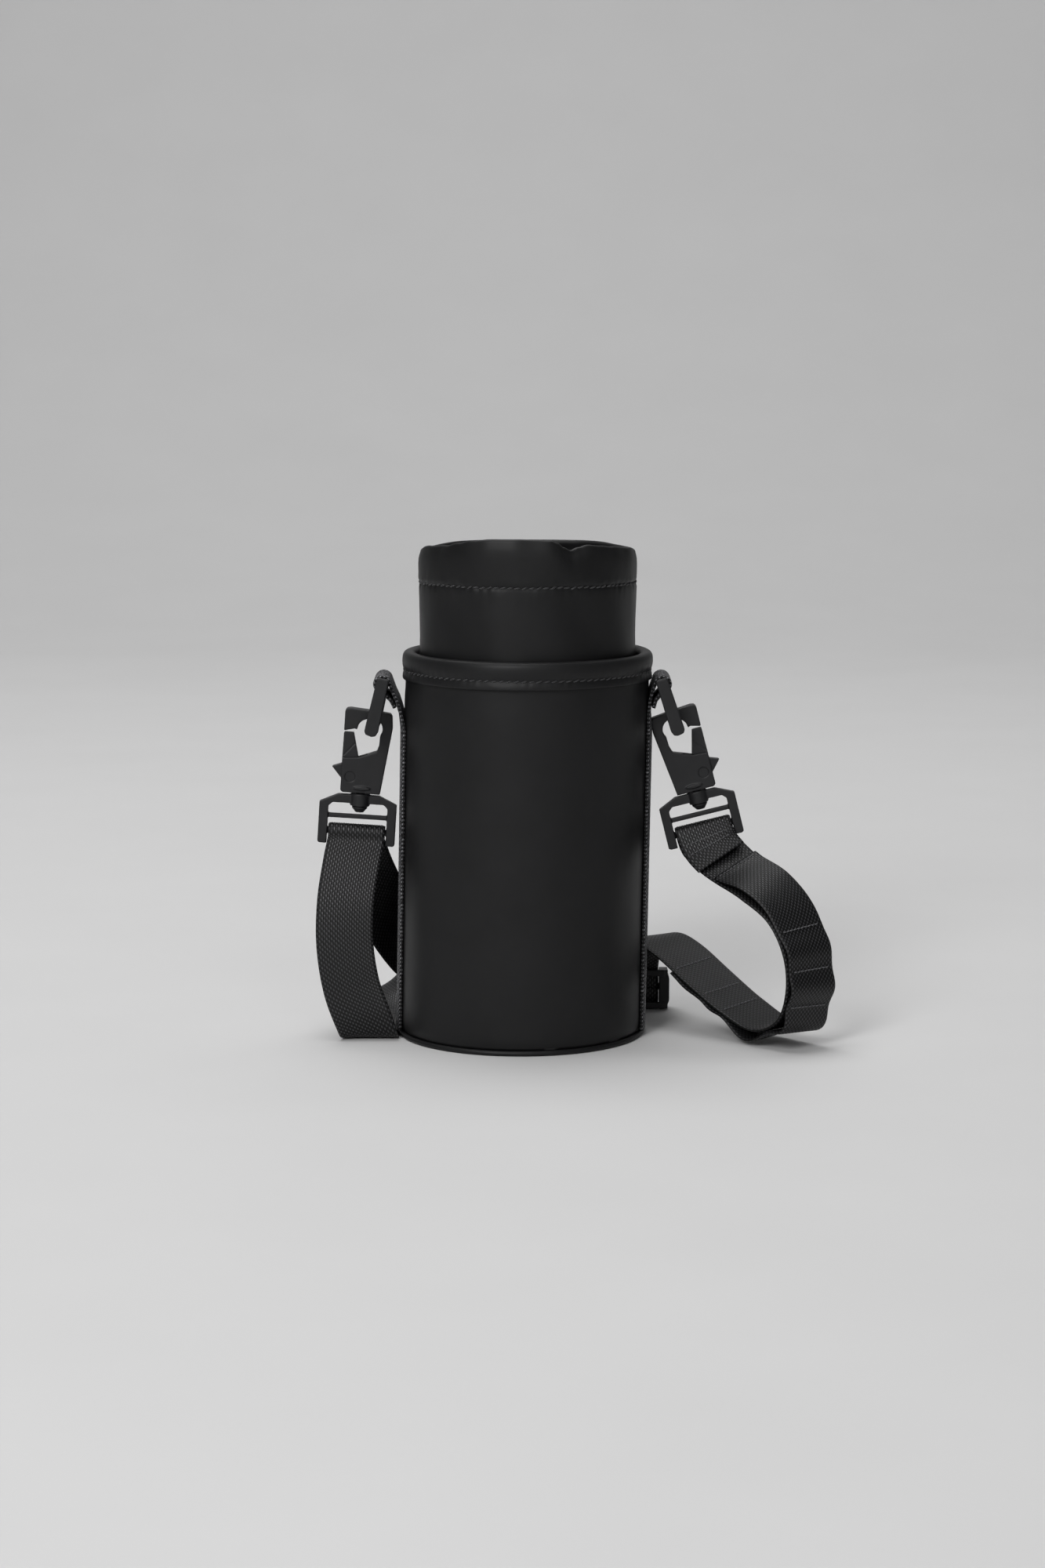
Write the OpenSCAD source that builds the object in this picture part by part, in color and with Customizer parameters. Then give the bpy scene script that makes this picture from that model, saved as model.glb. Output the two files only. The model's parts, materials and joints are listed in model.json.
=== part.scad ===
// Padded bottle bag with a drawstring collar, side rings, swivel snap hooks and a webbing shoulder strap.
// Millimetres. Origin at the centre of the base on the floor, +Z up, -Y is the front.

/* [Bag] */
// Outer radius of the fabric wall
wall_r = 53.5; // [52.5:0.5:54]
// Height of the rolled rim above the floor
rim_z = 170; // [168:1:171]
// Inner radius of the lining, which is the bottle's bore
bore_r = 45; // [44:0.5:45.5]
// Height of the top of the drawstring collar
collar_z = 218; // [216:1:219]
// Outer radius of the collar
collar_r = 48; // [47.8:0.1:48.2]
// Thickness of the coated outer fabric
fabric_t = 1.2; // [1:0.1:1.3]
// Thickness of the lining fabric
lining_t = 0.8; // [0.6:0.1:1]

/* [Webbing] */
// Width of the webbing
web_w = 25; // [24:0.5:25.5]
// Thickness of the webbing
web_t = 1.6; // [1.4:0.1:1.7]

/* [Hardware] */
// Radius of the ring's two round bars
ring_bar_r = 2.1; // [1.9:0.1:2.2]
// Distance between the centres of the ring's bars
ring_pitch = 20; // [20:0.5:20.5]
// Thickness of the hook body, front to back
hook_t = 6.5; // [6:0.5:7]
// Width of the strap frame
frame_w = 34; // [33.5:0.5:34]
// Radius of the swivel stud's shank
stud_r = 1.85; // [1.8:0.05:1.85]
// Radius of the gate's pivot pin
pin_r = 1.2; // [1:0.1:1.2]

/* [Hidden] */
$fn = 64;

// Colours
coated_black = [0.11, 0.11, 0.12];
webbing_black = [0.07, 0.07, 0.08];
plastic_black = [0.16, 0.16, 0.17];
lining_grey = [0.2, 0.2, 0.21];
foam_grey = [0.35, 0.35, 0.36];
steel_grey = [0.6, 0.6, 0.62];

// Layers of the base and wall, from the floor and from the bore outwards
gap = 0.1;
base_t = 1.9;
board_t = 1.3;
base_foam_t = 4.7;
board_z = base_t + gap;
base_foam_z = board_z + board_t + gap;
lining_z = base_foam_z + base_foam_t + gap;
wall_z = 2.4;
welt_r = 1.15;
welt_centre = wall_r - 0.45;
facing_z = 158;
facing_t = 1;
facing_r = wall_r + gap + facing_t;
panel_top = rim_z - 3.5;
foam_top = rim_z - 4.5;
collar_foot = rim_z - 4;
collar_t = 1;
hem_z = collar_z - 18;
hem_t = 2.4;

// Places of the two hooks: -1 is the left side, 1 is the right side
loop_x = 61;
loop_z = 156;
web_face_x = wall_r + gap;
ring_eye_gap = 26;
function hook_x(side) = side < 0 ? -71.2 : 76.3;
function hook_z(side) = side < 0 ? 107 : 108.2;
function hook_lean(side) = side < 0 ? 3.7 : -14;
function ring_lean(side) = side < 0 ? 13.4 : -18.5;
function frame_shift(side) = side < 0 ? -0.7 : -0.9;

// Hook and strap frame, measured from the foot of the hook body
pin_x = -4.9;
pin_z = 7;
slot_t = 4.3;
gate_t = 4.1;
strap_bar_z = -17.5;
strap_bar_r = 1.4;
web_wrap_r = 2.7;

// Drawcord and its lock behind the collar
cord_r = 0.8;
cord_ring_r = collar_r - 1.25;
cord_z = collar_z - 6;
lock_y = 54;
lock_z = 194;
lock_r = 5.5;
lock_half = 6.5;
lock_bore_r = 4;
plunger_r = 3.9;
cord_seat_x = 1.3;

// Slider on the strap, behind the bag
slider_at = [49.5, 49, 9.6];
loop_bar_r = 1.1;
loop_wrap_r = loop_bar_r + 0.3 + web_t / 2;
loop_bar = slider_at + [0, web_t / 2 + 0.3 + web_t / 2 + loop_wrap_r, 0];

// ---------- helpers ----------

// A point part of the way along a Catmull-Rom span
function span_point(a, b, c, d, t) =
    0.5 * (2 * b + (c - a) * t + (2 * a - 5 * b + 4 * c - d) * t * t
        + (3 * b - a - 3 * c + d) * t * t * t);

// A smooth path through keys, with steps points in each span
function smooth_path(keys, steps) = concat(
    [for (i = [0:len(keys) - 2], k = [0:steps - 1])
        span_point(keys[max(i - 1, 0)], keys[i], keys[i + 1],
            keys[min(i + 2, len(keys) - 1)], k / steps)],
    [keys[len(keys) - 1]]);

function xyz(row) = [row[0], row[1], row[2]];
function across(row) = [row[3], row[4], row[5]];
function unit(v) = v / norm(v);
function tangent(path, i) =
    unit(xyz(path[min(i + 1, len(path) - 1)]) - xyz(path[max(i - 1, 0)]));
function width_dir(path, i) =
    let (t = tangent(path, i), w = across(path[i])) unit(w - (w * t) * t);

// Flat webbing along a path: each row is a point and the direction of the webbing's width.
// lift moves the webbing off the path, along its face normal.
module webbing(path, lift = [0]) {
    half_w = web_w / 2;
    half_t = web_t / 2;
    rings = len(path);
    corners = [for (i = [0:rings - 1])
        let (w = width_dir(path, i), n = cross(tangent(path, i), w),
            p = xyz(path[i]) + n * lift[min(i, len(lift) - 1)])
        each [p - w * half_w - n * half_t, p + w * half_w - n * half_t,
            p + w * half_w + n * half_t, p - w * half_w + n * half_t]];
    sides = [for (i = [0:rings - 2], k = [0:3])
        let (a = 4 * i + k, b = 4 * i + (k + 1) % 4)
        each [[a, b, b + 4], [a, b + 4, a + 4]]];
    last = 4 * (rings - 1);
    ends = [[0, 1, 2, 3], [last + 3, last + 2, last + 1, last]];
    polyhedron(corners, concat(ends, [for (f = sides) [f[2], f[1], f[0]]]), convexity = 10);
}

// Tube of round section along a list of points
module tube(points, r, sides = 8) {
    rings = len(points);
    corners = [for (i = [0:rings - 1])
        let (t = unit(points[min(i + 1, rings - 1)] - points[max(i - 1, 0)]),
            u = unit(cross(t, abs(t[2]) > 0.9 ? [1, 0, 0] : [0, 0, 1])), v = cross(t, u))
        for (k = [0:sides - 1])
            points[i] + r * (cos(360 * k / sides) * u + sin(360 * k / sides) * v)];
    faces = [for (i = [0:rings - 2], k = [0:sides - 1])
        let (a = sides * i + k, b = sides * i + (k + 1) % sides)
        each [[a, b + sides, b], [a, a + sides, b + sides]]];
    ends = [[for (k = [0:sides - 1]) k],
        [for (k = [sides - 1:-1:0]) sides * (rings - 1) + k]];
    polyhedron(corners, concat(ends, faces), convexity = 10);
}

// Outline of a strip of thickness t along flat points
function strip_normal(points, i) =
    let (d = unit(points[min(i + 1, len(points) - 1)] - points[max(i - 1, 0)])) [-d[1], d[0]];
function strip_outline(points, t) = concat(
    [for (i = [0:len(points) - 1]) points[i] + strip_normal(points, i) * t / 2],
    [for (i = [len(points) - 1:-1:0]) points[i] - strip_normal(points, i) * t / 2]);

module ring_of(r_in, r_out, z_low, z_high) {
    rotate_extrude($fn = 128)
        translate([r_in, z_low])
            square([r_out - r_in, z_high - z_low]);
}

// Stands a flat outline up in the XZ plane, centred front to back
module upright(t) {
    rotate([90, 0, 0])
        linear_extrude(t, center = true, convexity = 6)
            children();
}

// Puts a hook part drawn at the hook's foot in its place
module at_hook(side) {
    translate([hook_x(side), 0, hook_z(side)])
        rotate([0, hook_lean(side), 0])
            mirror([side > 0 ? 1 : 0, 0, 0])
                children();
}

// The strap bar's centre, its own direction and the direction up the hook
function hook_up(side) = [sin(hook_lean(side)), 0, cos(hook_lean(side))];
function hook_across(side) = [cos(hook_lean(side)), 0, -sin(hook_lean(side))];
function strap_bar(side) = [hook_x(side), 0, hook_z(side)]
    + hook_across(side) * frame_shift(side) + hook_up(side) * strap_bar_z;

// Webbing rows round the strap bar, from its front, over the top, to its back
function bar_wrap(side) = [for (a = [0:45:180])
    let (p = strap_bar(side) + web_wrap_r * (sin(a) * hook_up(side) - cos(a) * [0, 1, 0]),
        w = hook_across(side))
    [p[0], p[1], p[2], w[0], w[1], w[2]]];

// A row behind the strap bar, a little further down
function below_bar(side, drop) =
    let (row = bar_wrap(side)[4], p = xyz(row) - drop * hook_up(side))
    [p[0], p[1], p[2], row[3], row[4], row[5]];

// ---------- strap routes: point, then direction of the width ----------

tail_keys = [
    [87, -10, 79.6, 0.95, 0.12, 0.25],
    [82.6, -5.9, 84.4, 0.96, 0.06, 0.25]];
right_keys = [
    [82.2, 1, 84, 0.97, 0.02, 0.24],
    [87, -5.6, 79.4, 0.95, 0.12, 0.24],
    [94.5, -13, 74, 0.93, 0.25, 0.2],
    [105, -23, 67, 0.88, 0.4, 0.12],
    [116, -33, 57, 0.84, 0.52, 0.05],
    [122, -39, 42, 0.8, 0.6, 0],
    [123, -40, 26, 0.8, 0.6, 0],
    [119, -36, 13, 0.8, 0.6, 0],
    [109, -26, 8, 0.8, 0.58, 0.05],
    [96, -12, 14, 0.8, 0.58, 0.1],
    [83, 3, 23, 0.82, 0.56, 0.12],
    [71, 17, 32, 0.82, 0.55, 0.12],
    [62, 29, 36, 0.86, 0.5, 0.08],
    [55.5, 39.5, 34.5, 0.93, 0.36, 0],
    [51, 46.5, 27.5, 0.98, 0.15, 0],
    [49.5, 49, 21, 1, 0, 0],
    [49.5, 49, 14, 1, 0, 0],
    [49.5, 49, 10, 1, 0, 0]];
back_keys = [
    [49.5, 49, 9.9, 1, 0, 0],
    [49.5, 49, 5.5, 1, 0, 0],
    [49.5, 51, 2.1, 1, 0, 0],
    [49.5, 56, 1.1, 1, 0, 0],
    [49.5, 62, 1.25, 1, 0, 0],
    [49, 74, 3.5, 0.97, 0.05, 0.2],
    [45, 87, 7.8, 0.8, 0.2, 0.55],
    [36, 96, 12.1, 0.4, 0.15, 0.9],
    [21, 100, 12.6, 0, 0, 1],
    [0, 100, 12.6, 0, 0, 1],
    [-22, 96, 12.9, 0, 0, 1],
    [-42, 87, 13.4, 0.2, 0.1, 0.95],
    [-57, 74, 10.4, 0.65, 0.1, 0.7],
    [-65, 59, 5, 0.93, 0, 0.33],
    [-67, 45, 1.4, 1, 0, 0],
    [-67, 37, 1.1, 1, 0, 0],
    [-67, 30.1, 0.8, 1, 0, 0]];
left_keys = [
    [-67, 30, 0.8, 1, 0, 0],
    [-67, 12, 0.85, 1, 0, 0],
    [-67, -6, 0.95, 1, 0, 0],
    [-67, -17.5, 1.8, 1, 0, 0],
    [-69.4, -21.5, 9, 0.98, 0, 0.12],
    [-74.8, -20, 24, 0.98, 0.05, 0.2],
    [-77.7, -17, 42, 0.99, 0.05, 0.1],
    [-77.5, -13, 60, 1, 0, 0.02],
    [-75.2, -7.5, 76, 1, 0, -0.03],
    [-73.3, -3.2, 85.5, 0.998, 0, -0.06]];
return_keys = [
    [-72.7, 5, 82.5, 0.998, 0.03, -0.05],
    [-69.8, 10, 72, 0.97, 0.2, 0.02],
    [-63.5, 19, 56, 0.9, 0.42, 0.1],
    [-56, 31, 38, 0.78, 0.6, 0.2],
    [-46, 46, 23, 0.5, 0.5, 0.7],
    [-31, 62, 15, 0.2, 0.25, 0.95],
    [-12, 74, 12.9, 0, 0, 1],
    [6, 80, 12.9, 0, 0, 1],
    [22, 84, 12.9, 0, 0, 1],
    [34, 81.5, 12.35, 0.35, 0.1, 0.92],
    [42.5, 75, 9.8, 0.77, 0.1, 0.56],
    [47.5, 67, 6.2, 0.97, 0.03, 0.15],
    [49.4, 59, 3.4, 1, 0, 0],
    [49.5, 55.8, 4.8, 1, 0, 0],
    [49.5, 55.2, 7.2, 1, 0, 0]];

span_steps = 5;
right_path = smooth_path(
    concat(tail_keys, bar_wrap(1), [below_bar(1, 3.5)], right_keys), span_steps);
back_path = smooth_path(back_keys, span_steps);
left_path = smooth_path(concat(left_keys, bar_wrap(-1), [below_bar(-1, 1.5)]), span_steps);
return_path = smooth_path(concat([below_bar(-1, 1.6), below_bar(-1, 4)], return_keys), span_steps);
loop_path = concat(
    [[slider_at[0], loop_bar[1] + loop_wrap_r, 7.4, 1, 0, 0]],
    [for (a = [0:30:180])
        [slider_at[0], loop_bar[1] + loop_wrap_r * cos(a), loop_bar[2] + loop_wrap_r * sin(a), 1, 0, 0]],
    [[slider_at[0], loop_bar[1] - loop_wrap_r, 7.4, 1, 0, 0]]);

// The overlay is stitched to the right run at these spans, and stands off by the slack between them
run_span = len(tail_keys) + len(bar_wrap(1)) + 1;
overlay_stitch = [1.8, 4.4, 5.4, 6.4, 7.6, 9, 9.6, 10.6];
overlay_slack = [3.2, 1.3, 1.8, 3.2, 3.6, 0.8, 0.8];
overlay_lift = web_t + 0.3;
function overlay_part(s) =
    [for (i = [0:len(overlay_slack) - 1])
        if (s >= overlay_stitch[i] && s <= overlay_stitch[i + 1]) i][0];
function overlay_off(s) =
    let (i = overlay_part(s),
        t = (s - overlay_stitch[i]) / (overlay_stitch[i + 1] - overlay_stitch[i]))
    overlay_lift + overlay_slack[i] * pow(sin(180 * t), 2);
overlay_rows = [for (k = [0:len(right_path) - 1])
    let (s = k / span_steps - run_span)
    if (s >= overlay_stitch[0] && s <= overlay_stitch[len(overlay_stitch) - 1]) k];

// ---------- bag ----------

module half_wall(front) {
    rotate([0, 0, front ? 180 : 0])
        rotate([0, 0, 0.1])
            rotate_extrude(angle = 179.8, $fn = 128)
                translate([wall_r - fabric_t, wall_z])
                    square([fabric_t, panel_top - wall_z]);
}

module front_panel() {
    color(coated_black) half_wall(true);
}

module back_panel() {
    color(coated_black) half_wall(false);
}

module base_panel() {
    color(coated_black)
        cylinder(h = base_t, r = welt_centre - welt_r - gap, $fn = 128);
}

// Piped seam where the wall meets the base
module base_welt() {
    color(coated_black)
        rotate_extrude($fn = 128)
            translate([welt_centre, welt_r])
                circle(r = welt_r, $fn = 32);
}

module base_stiffener() {
    color(plastic_black)
        translate([0, 0, board_z])
            cylinder(h = board_t, r = wall_r - fabric_t - gap, $fn = 128);
}

// Stitched band that rolls over the top of the wall
module rim_facing() {
    inner_r = collar_r + 0.4;
    roll_r = 3;
    color(coated_black)
        rotate_extrude($fn = 128)
            union() {
                translate([wall_r + gap, facing_z])
                    square([facing_t, rim_z - roll_r - facing_z]);
                intersection() {
                    translate([facing_r - roll_r, rim_z - roll_r])
                        circle(r = roll_r, $fn = 48);
                    translate([facing_r - roll_r, rim_z - roll_r])
                        square(roll_r);
                }
                translate([inner_r, rim_z - roll_r])
                    square([facing_r - roll_r - inner_r, roll_r]);
            }
}

module foam_sleeve() {
    color(foam_grey)
        ring_of(bore_r + lining_t + gap, wall_r - fabric_t - gap, lining_z, foam_top);
}

module foam_base() {
    color(foam_grey)
        translate([0, 0, base_foam_z])
            cylinder(h = base_foam_t, r = wall_r - fabric_t - gap, $fn = 128);
}

module lining_sleeve() {
    color(lining_grey)
        ring_of(bore_r, bore_r + lining_t, lining_z + lining_t + gap, foam_top);
}

module lining_base() {
    color(lining_grey)
        translate([0, 0, lining_z])
            cylinder(h = lining_t, r = bore_r + lining_t, $fn = 128);
}

// Soft tube that closes over the bottle; its hem is a channel for the drawcord
module drawstring_collar() {
    hem_foot = hem_z + 1.2;
    channel_r = cord_r + 0.3;
    color(coated_black)
        difference() {
            union() {
                ring_of(collar_r - collar_t, collar_r, collar_foot, hem_foot);
                ring_of(collar_r - hem_t, collar_r, hem_foot, collar_z);
            }
            rotate_extrude($fn = 128)
                translate([cord_ring_r, cord_z])
                    circle(r = channel_r, $fn = 24);
            for (x = [-eyelet_x, eyelet_x])
                translate([x, cord_ring_r, cord_z])
                    rotate([-90, 0, 0])
                        cylinder(h = 6, r = eyelet_hole_r + 0.4, $fn = 24);
        }
}

// ---------- drawcord and lock ----------

eyelet_x = 5;
eyelet_hole_r = 1.2;
eyelet_y = sqrt(pow(collar_r, 2) - pow(eyelet_x, 2));

// Both ends of the cord leave at the back, drop through the lock and end in a knot
cord_right = [
    [5, 49.5, 211.8], [4.6, 52, 210.3], [3.8, 53.8, 207.5], [2.6, 54.7, 204], [1.6, 54.9, 201.4],
    [1.3, 54.9, 199.4], [1.3, 54.9, 190], [1.3, 54.9, 182], [1.2, 54.95, 179.8]];
cord_left = [
    [-5, 49.5, 211.8], [-4.4, 51.4, 210.3], [-3, 52.5, 207.5], [-0.9, 53, 204], [0.7, 53.1, 201.4],
    [1.3, 53.1, 199.4], [1.3, 53.1, 190], [1.3, 53.1, 182], [1.2, 53.05, 179.8]];
knot_at = [1.1, lock_y, 178.4];

module drawcord() {
    ring_start = asin(eyelet_x / cord_ring_r);
    ring_points = [for (k = [0:72])
        let (a = ring_start + k * (360 - 2 * ring_start) / 72)
        [cord_ring_r * sin(a), cord_ring_r * cos(a), cord_z]];
    last = len(cord_right) - 1;
    right_tail = smooth_path([for (i = [last:-1:0]) cord_right[i]], 2);
    left_tail = smooth_path(cord_left, 2);
    color(webbing_black)
        union() {
            tube(concat(right_tail, ring_points, left_tail), cord_r);
            translate(knot_at)
                sphere(r = 2.6, $fn = 32);
        }
}

module cord_eyelets() {
    color(steel_grey)
        for (x = [-eyelet_x, eyelet_x])
            translate([x, eyelet_y, cord_z])
                rotate([-90, 0, 0])
                    rotate_extrude($fn = 48)
                        translate([eyelet_hole_r - 0.1, 0.45])
                            square([1.3, 0.6]);
}

// Barrel with a blind bore for the plunger and a slot for the cords
module cord_lock_body() {
    color(plastic_black)
        translate([0, lock_y, lock_z])
            difference() {
                rotate([0, 90, 0])
                    cylinder(h = 2 * lock_half, r = lock_r, center = true);
                translate([-lock_half + 1.2, 0, 0])
                    rotate([0, 90, 0])
                        cylinder(h = 2 * lock_half, r = lock_bore_r);
                cube([4.4, 3.9, 3 * lock_r], center = true);
            }
}

module cord_lock_plunger() {
    head_x = 10.2;
    foot_x = -1.5;
    color(plastic_black)
        translate([0, lock_y, lock_z])
            difference() {
                translate([foot_x, 0, 0])
                    rotate([0, 90, 0])
                        cylinder(h = head_x - foot_x, r = plunger_r);
                translate([cord_seat_x - cord_r - 0.1, -1.95, -lock_r])
                    cube([5, 3.9, 2 * lock_r]);
            }
}

module cord_lock_spring() {
    coils = 4;
    wire_r = 0.3;
    coil_r = 2.6;
    pitch = 0.75;
    turn_steps = 14;
    color(steel_grey)
        translate([-lock_half + 1.35 + wire_r, lock_y, lock_z])
            rotate([0, 90, 0])
                tube([for (k = [0:coils * turn_steps])
                    let (a = 360 * k / turn_steps)
                    [coil_r * cos(a), coil_r * sin(a), pitch * k / turn_steps]], wire_r);
}

// ---------- side webbing and rings ----------

loop_r = ring_bar_r + 0.3 + web_t / 2;

// Up the wall, outwards, round the ring's bar and back down to the stitching
function side_route() =
    let (x0 = web_face_x + web_t / 2, x1 = x0 + web_t + 0.02)
    concat(
        [[x0, wall_z + 0.1], [x0, 40], [x0, 90], [x0, 130], [x0 + 0.05, 143], [x0 + 0.6, 148.5]],
        [for (a = [170:-15:-70]) [loop_x, loop_z] + loop_r * [cos(a), sin(a)]],
        [[59.5, 150.9], [57.7, 149], [x1 + 0.9, 147.2], [x1 + 0.35, 145.6]]);

module side_webbing(side) {
    color(webbing_black)
        mirror([side < 0 ? 1 : 0, 0, 0])
            upright(web_w)
                polygon(strip_outline(side_route(), web_t));
}

// Side of the ring's leg, with its top bar's centre at 0, 0
ring_leg = [
    [-2.3, 2.7], [2.1, 2.9], [2.6, 2.3], [3.1, -20.4], [2.3, -22.4], [0.6, -23], [-2, -22.6],
    [-2.9, -21.2], [-2.9, -19], [-2.7, 2.2]];

module ring(side) {
    leg_t = 3.4;
    color(plastic_black)
        translate([side * loop_x, 0, loop_z])
            rotate([0, ring_lean(side), 0])
                union() {
                    for (z = [0, -ring_pitch])
                        translate([0, 0, z])
                            rotate([90, 0, 0])
                                cylinder(h = ring_eye_gap + 1, r = ring_bar_r, center = true);
                    for (y = [-1, 1])
                        translate([0, y * (ring_eye_gap + leg_t) / 2, 0])
                            upright(leg_t)
                                mirror([side > 0 ? 1 : 0, 0])
                                    polygon(ring_leg);
                }
}

// ---------- hooks ----------

eye_r = 4.7;
eye_low = [1.8, 28.1];
eye_high = [3.4, 28.6];

// Outline of the hook body seen from the front, gate side to the left
hook_outline = [
    [-8.9, 0.9], [-7.9, 0], [8.6, -0.3], [12.5, 29], [12.1, 34.4], [11.2, 35.6], [2, 36.6],
    [-6.3, 37.3], [-8, 37], [-8.65, 36], [-8.7, 27.2], [-4.6, 28.2], [-4, 28.4], [-2.6, 27.6],
    [2.2, 24], [7.2, 26], [7, 21.5], [6.1, 18.6], [-1.8, 15.7], [-8.8, 15.2]];

module hook_body(side) {
    color(plastic_black)
        at_hook(side)
            difference() {
                upright(hook_t)
                    difference() {
                        polygon(hook_outline);
                        for (centre = [eye_low, (eye_low + eye_high) / 2, eye_high])
                            translate(centre)
                                circle(r = eye_r);
                    }
                // room for the gate between the cheeks
                upright(slot_t)
                    polygon([[-10, 3.2], [-2.3, 3.2], [-0.6, 5.5], [2.6, 19], [-10, 19]]);
                // hole for the stud
                translate([0, 0, -1])
                    cylinder(h = 4, r = stud_r + 0.02);
                // pivot hole and the recesses for the pin's heads
                translate([pin_x, 0, pin_z])
                    rotate([90, 0, 0]) {
                        cylinder(h = hook_t + 2, r = pin_r + 0.02, center = true);
                        for (z = [-1, 1])
                            translate([0, 0, z * (hook_t / 2 + 0.45)])
                                cylinder(h = 2, r = 2.25, center = true);
                    }
            }
}

// Sprung gate with its thumb tab, which turns inwards about the pin
module gate(side) {
    color(plastic_black)
        at_hook(side)
            difference() {
                union() {
                    upright(gate_t)
                        polygon([[-8.7, 26.4], [-4.4, 26.4], [-1.9, 16], [-2.7, 7.5], [-3.5, 4.9],
                            [-6.5, 4.6], [-8.8, 6], [-13.1, 11], [-8.9, 12.5]]);
                    translate([pin_x, 0, pin_z])
                        rotate([90, 0, 0])
                            cylinder(h = gate_t, r = 2.5, center = true);
                }
                translate([pin_x, 0, pin_z])
                    rotate([90, 0, 0])
                        cylinder(h = gate_t + 2, r = pin_r + 0.05, center = true);
                // pocket for the spring, at the back
                translate([pin_x, gate_t / 2, pin_z])
                    rotate([90, 0, 0])
                        cylinder(h = 3, r = 2.15, center = true);
            }
}

module gate_pin(side) {
    color(steel_grey)
        at_hook(side)
            translate([pin_x, 0, pin_z])
                rotate([90, 0, 0]) {
                    cylinder(h = hook_t - 1, r = pin_r, center = true);
                    for (z = [-1, 1])
                        translate([0, 0, z * (hook_t / 2 - 0.3)])
                            cylinder(h = 0.45, r = 2.15, center = true);
                }
}

// Torsion coil on the pin
module gate_spring(side) {
    wire_r = 0.28;
    color(steel_grey)
        at_hook(side)
            translate([pin_x, gate_t / 2 - 1, pin_z])
                rotate([-90, 0, 0])
                    union() {
                        for (k = [0:1])
                            translate([0, 0, k * 0.6])
                                rotate_extrude($fn = 32)
                                    translate([1.68, 0])
                                        circle(r = wire_r, $fn = 16);
                        translate([1.68, 0, 0])
                            cylinder(h = 0.6, r = wire_r, $fn = 16);
                    }
}

// Stud that joins the hook to the strap frame and lets it turn
module swivel_stud(side) {
    color(plastic_black)
        at_hook(side)
            rotate_extrude($fn = 48)
                polygon([[0, 2.9], [stud_r, 2.9], [stud_r, -6.2], [3.4, -6.2], [3.4, -6.8],
                    [1.8, -8.8], [0, -8.8]]);
}

module strap_frame(side) {
    half = frame_w / 2;
    leg = 4;
    color(plastic_black)
        at_hook(side)
            difference() {
                translate([side > 0 ? -frame_shift(side) : frame_shift(side), 0, 0])
                    union() {
                        upright(4)
                            polygon([[-9, -1.1], [9, -1.1], [half, -4.8], [half, -22.6],
                                [half - 0.8, -23.2], [half - leg, -23.2], [half - leg, -6.6],
                                [half - leg - 1.8, -4.9], [leg + 1.8 - half, -4.9],
                                [leg - half, -6.6], [leg - half, -23.2],
                                [0.8 - half, -23.2], [-half, -22.6], [-half, -4.8]]);
                        translate([0, 0, -10.8])
                            cube([frame_w - leg, 2.2, 2], center = true);
                        translate([0, 0, strap_bar_z])
                            rotate([0, 90, 0])
                                cylinder(h = frame_w - leg, r = strap_bar_r, center = true);
                        translate([side > 0 ? frame_shift(side) : -frame_shift(side), 0, -6])
                            cylinder(h = 5.5, r = 4.3);
                    }
                translate([0, 0, -8])
                    cylinder(h = 10, r = stud_r + 0.07);
            }
}

// ---------- strap ----------

module strap_right() {
    color(webbing_black) webbing(right_path);
}

module strap_overlay() {
    color(webbing_black)
        webbing([for (k = overlay_rows) right_path[k]],
            [for (k = overlay_rows) overlay_off(k / span_steps - run_span)]);
}

module strap_back() {
    color(webbing_black) webbing(back_path);
}

module strap_left() {
    color(webbing_black) webbing(left_path);
}

module strap_return() {
    color(webbing_black) webbing(return_path);
}

// Sewn end of the webbing round the slider's middle bar
module strap_end_loop() {
    color(webbing_black) webbing(loop_path);
}

// Three-bar slider that the webbing runs through
module strap_slider() {
    length = 18;
    bar = 3;
    side_bar = 3.9;
    width = 33.4;
    side_t = 7.6;
    end_t = 1.5;
    end_y = -2.7;
    color(plastic_black)
        union() {
            for (x = [-1, 1])
                translate(slider_at + [x * (width - side_bar) / 2, 0.4 + end_y / 2 + 1.7, 0])
                    cube([side_bar, side_t, length], center = true);
            for (z = [-1, 1])
                translate(slider_at + [0, end_y, z * (length - bar) / 2])
                    cube([width - bar, end_t, bar], center = true);
            translate(loop_bar)
                rotate([0, 90, 0])
                    cylinder(h = width - bar, r = loop_bar_r, center = true);
        }
}

front_panel();
back_panel();
base_panel();
base_welt();
base_stiffener();
rim_facing();
foam_sleeve();
foam_base();
lining_sleeve();
lining_base();
drawstring_collar();
drawcord();
cord_eyelets();
cord_lock_body();
cord_lock_plunger();
cord_lock_spring();
side_webbing(-1);  // side_webbing_left
side_webbing(1);  // side_webbing_right
ring(-1);  // ring_left
ring(1);  // ring_right
hook_body(-1);  // hook_body_left
hook_body(1);  // hook_body_right
gate(-1);  // gate_left
gate(1);  // gate_right
gate_pin(-1);  // gate_pin_left
gate_pin(1);  // gate_pin_right
gate_spring(-1);  // gate_spring_left
gate_spring(1);  // gate_spring_right
swivel_stud(-1);  // swivel_stud_left
swivel_stud(1);  // swivel_stud_right
strap_frame(-1);  // strap_frame_left
strap_frame(1);  // strap_frame_right
strap_right();
strap_overlay();
strap_back();
strap_left();
strap_return();
strap_end_loop();
strap_slider();
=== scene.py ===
import json
import math

import bmesh
import bpy
import numpy as np
from mathutils import Matrix, Vector, noise


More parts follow.
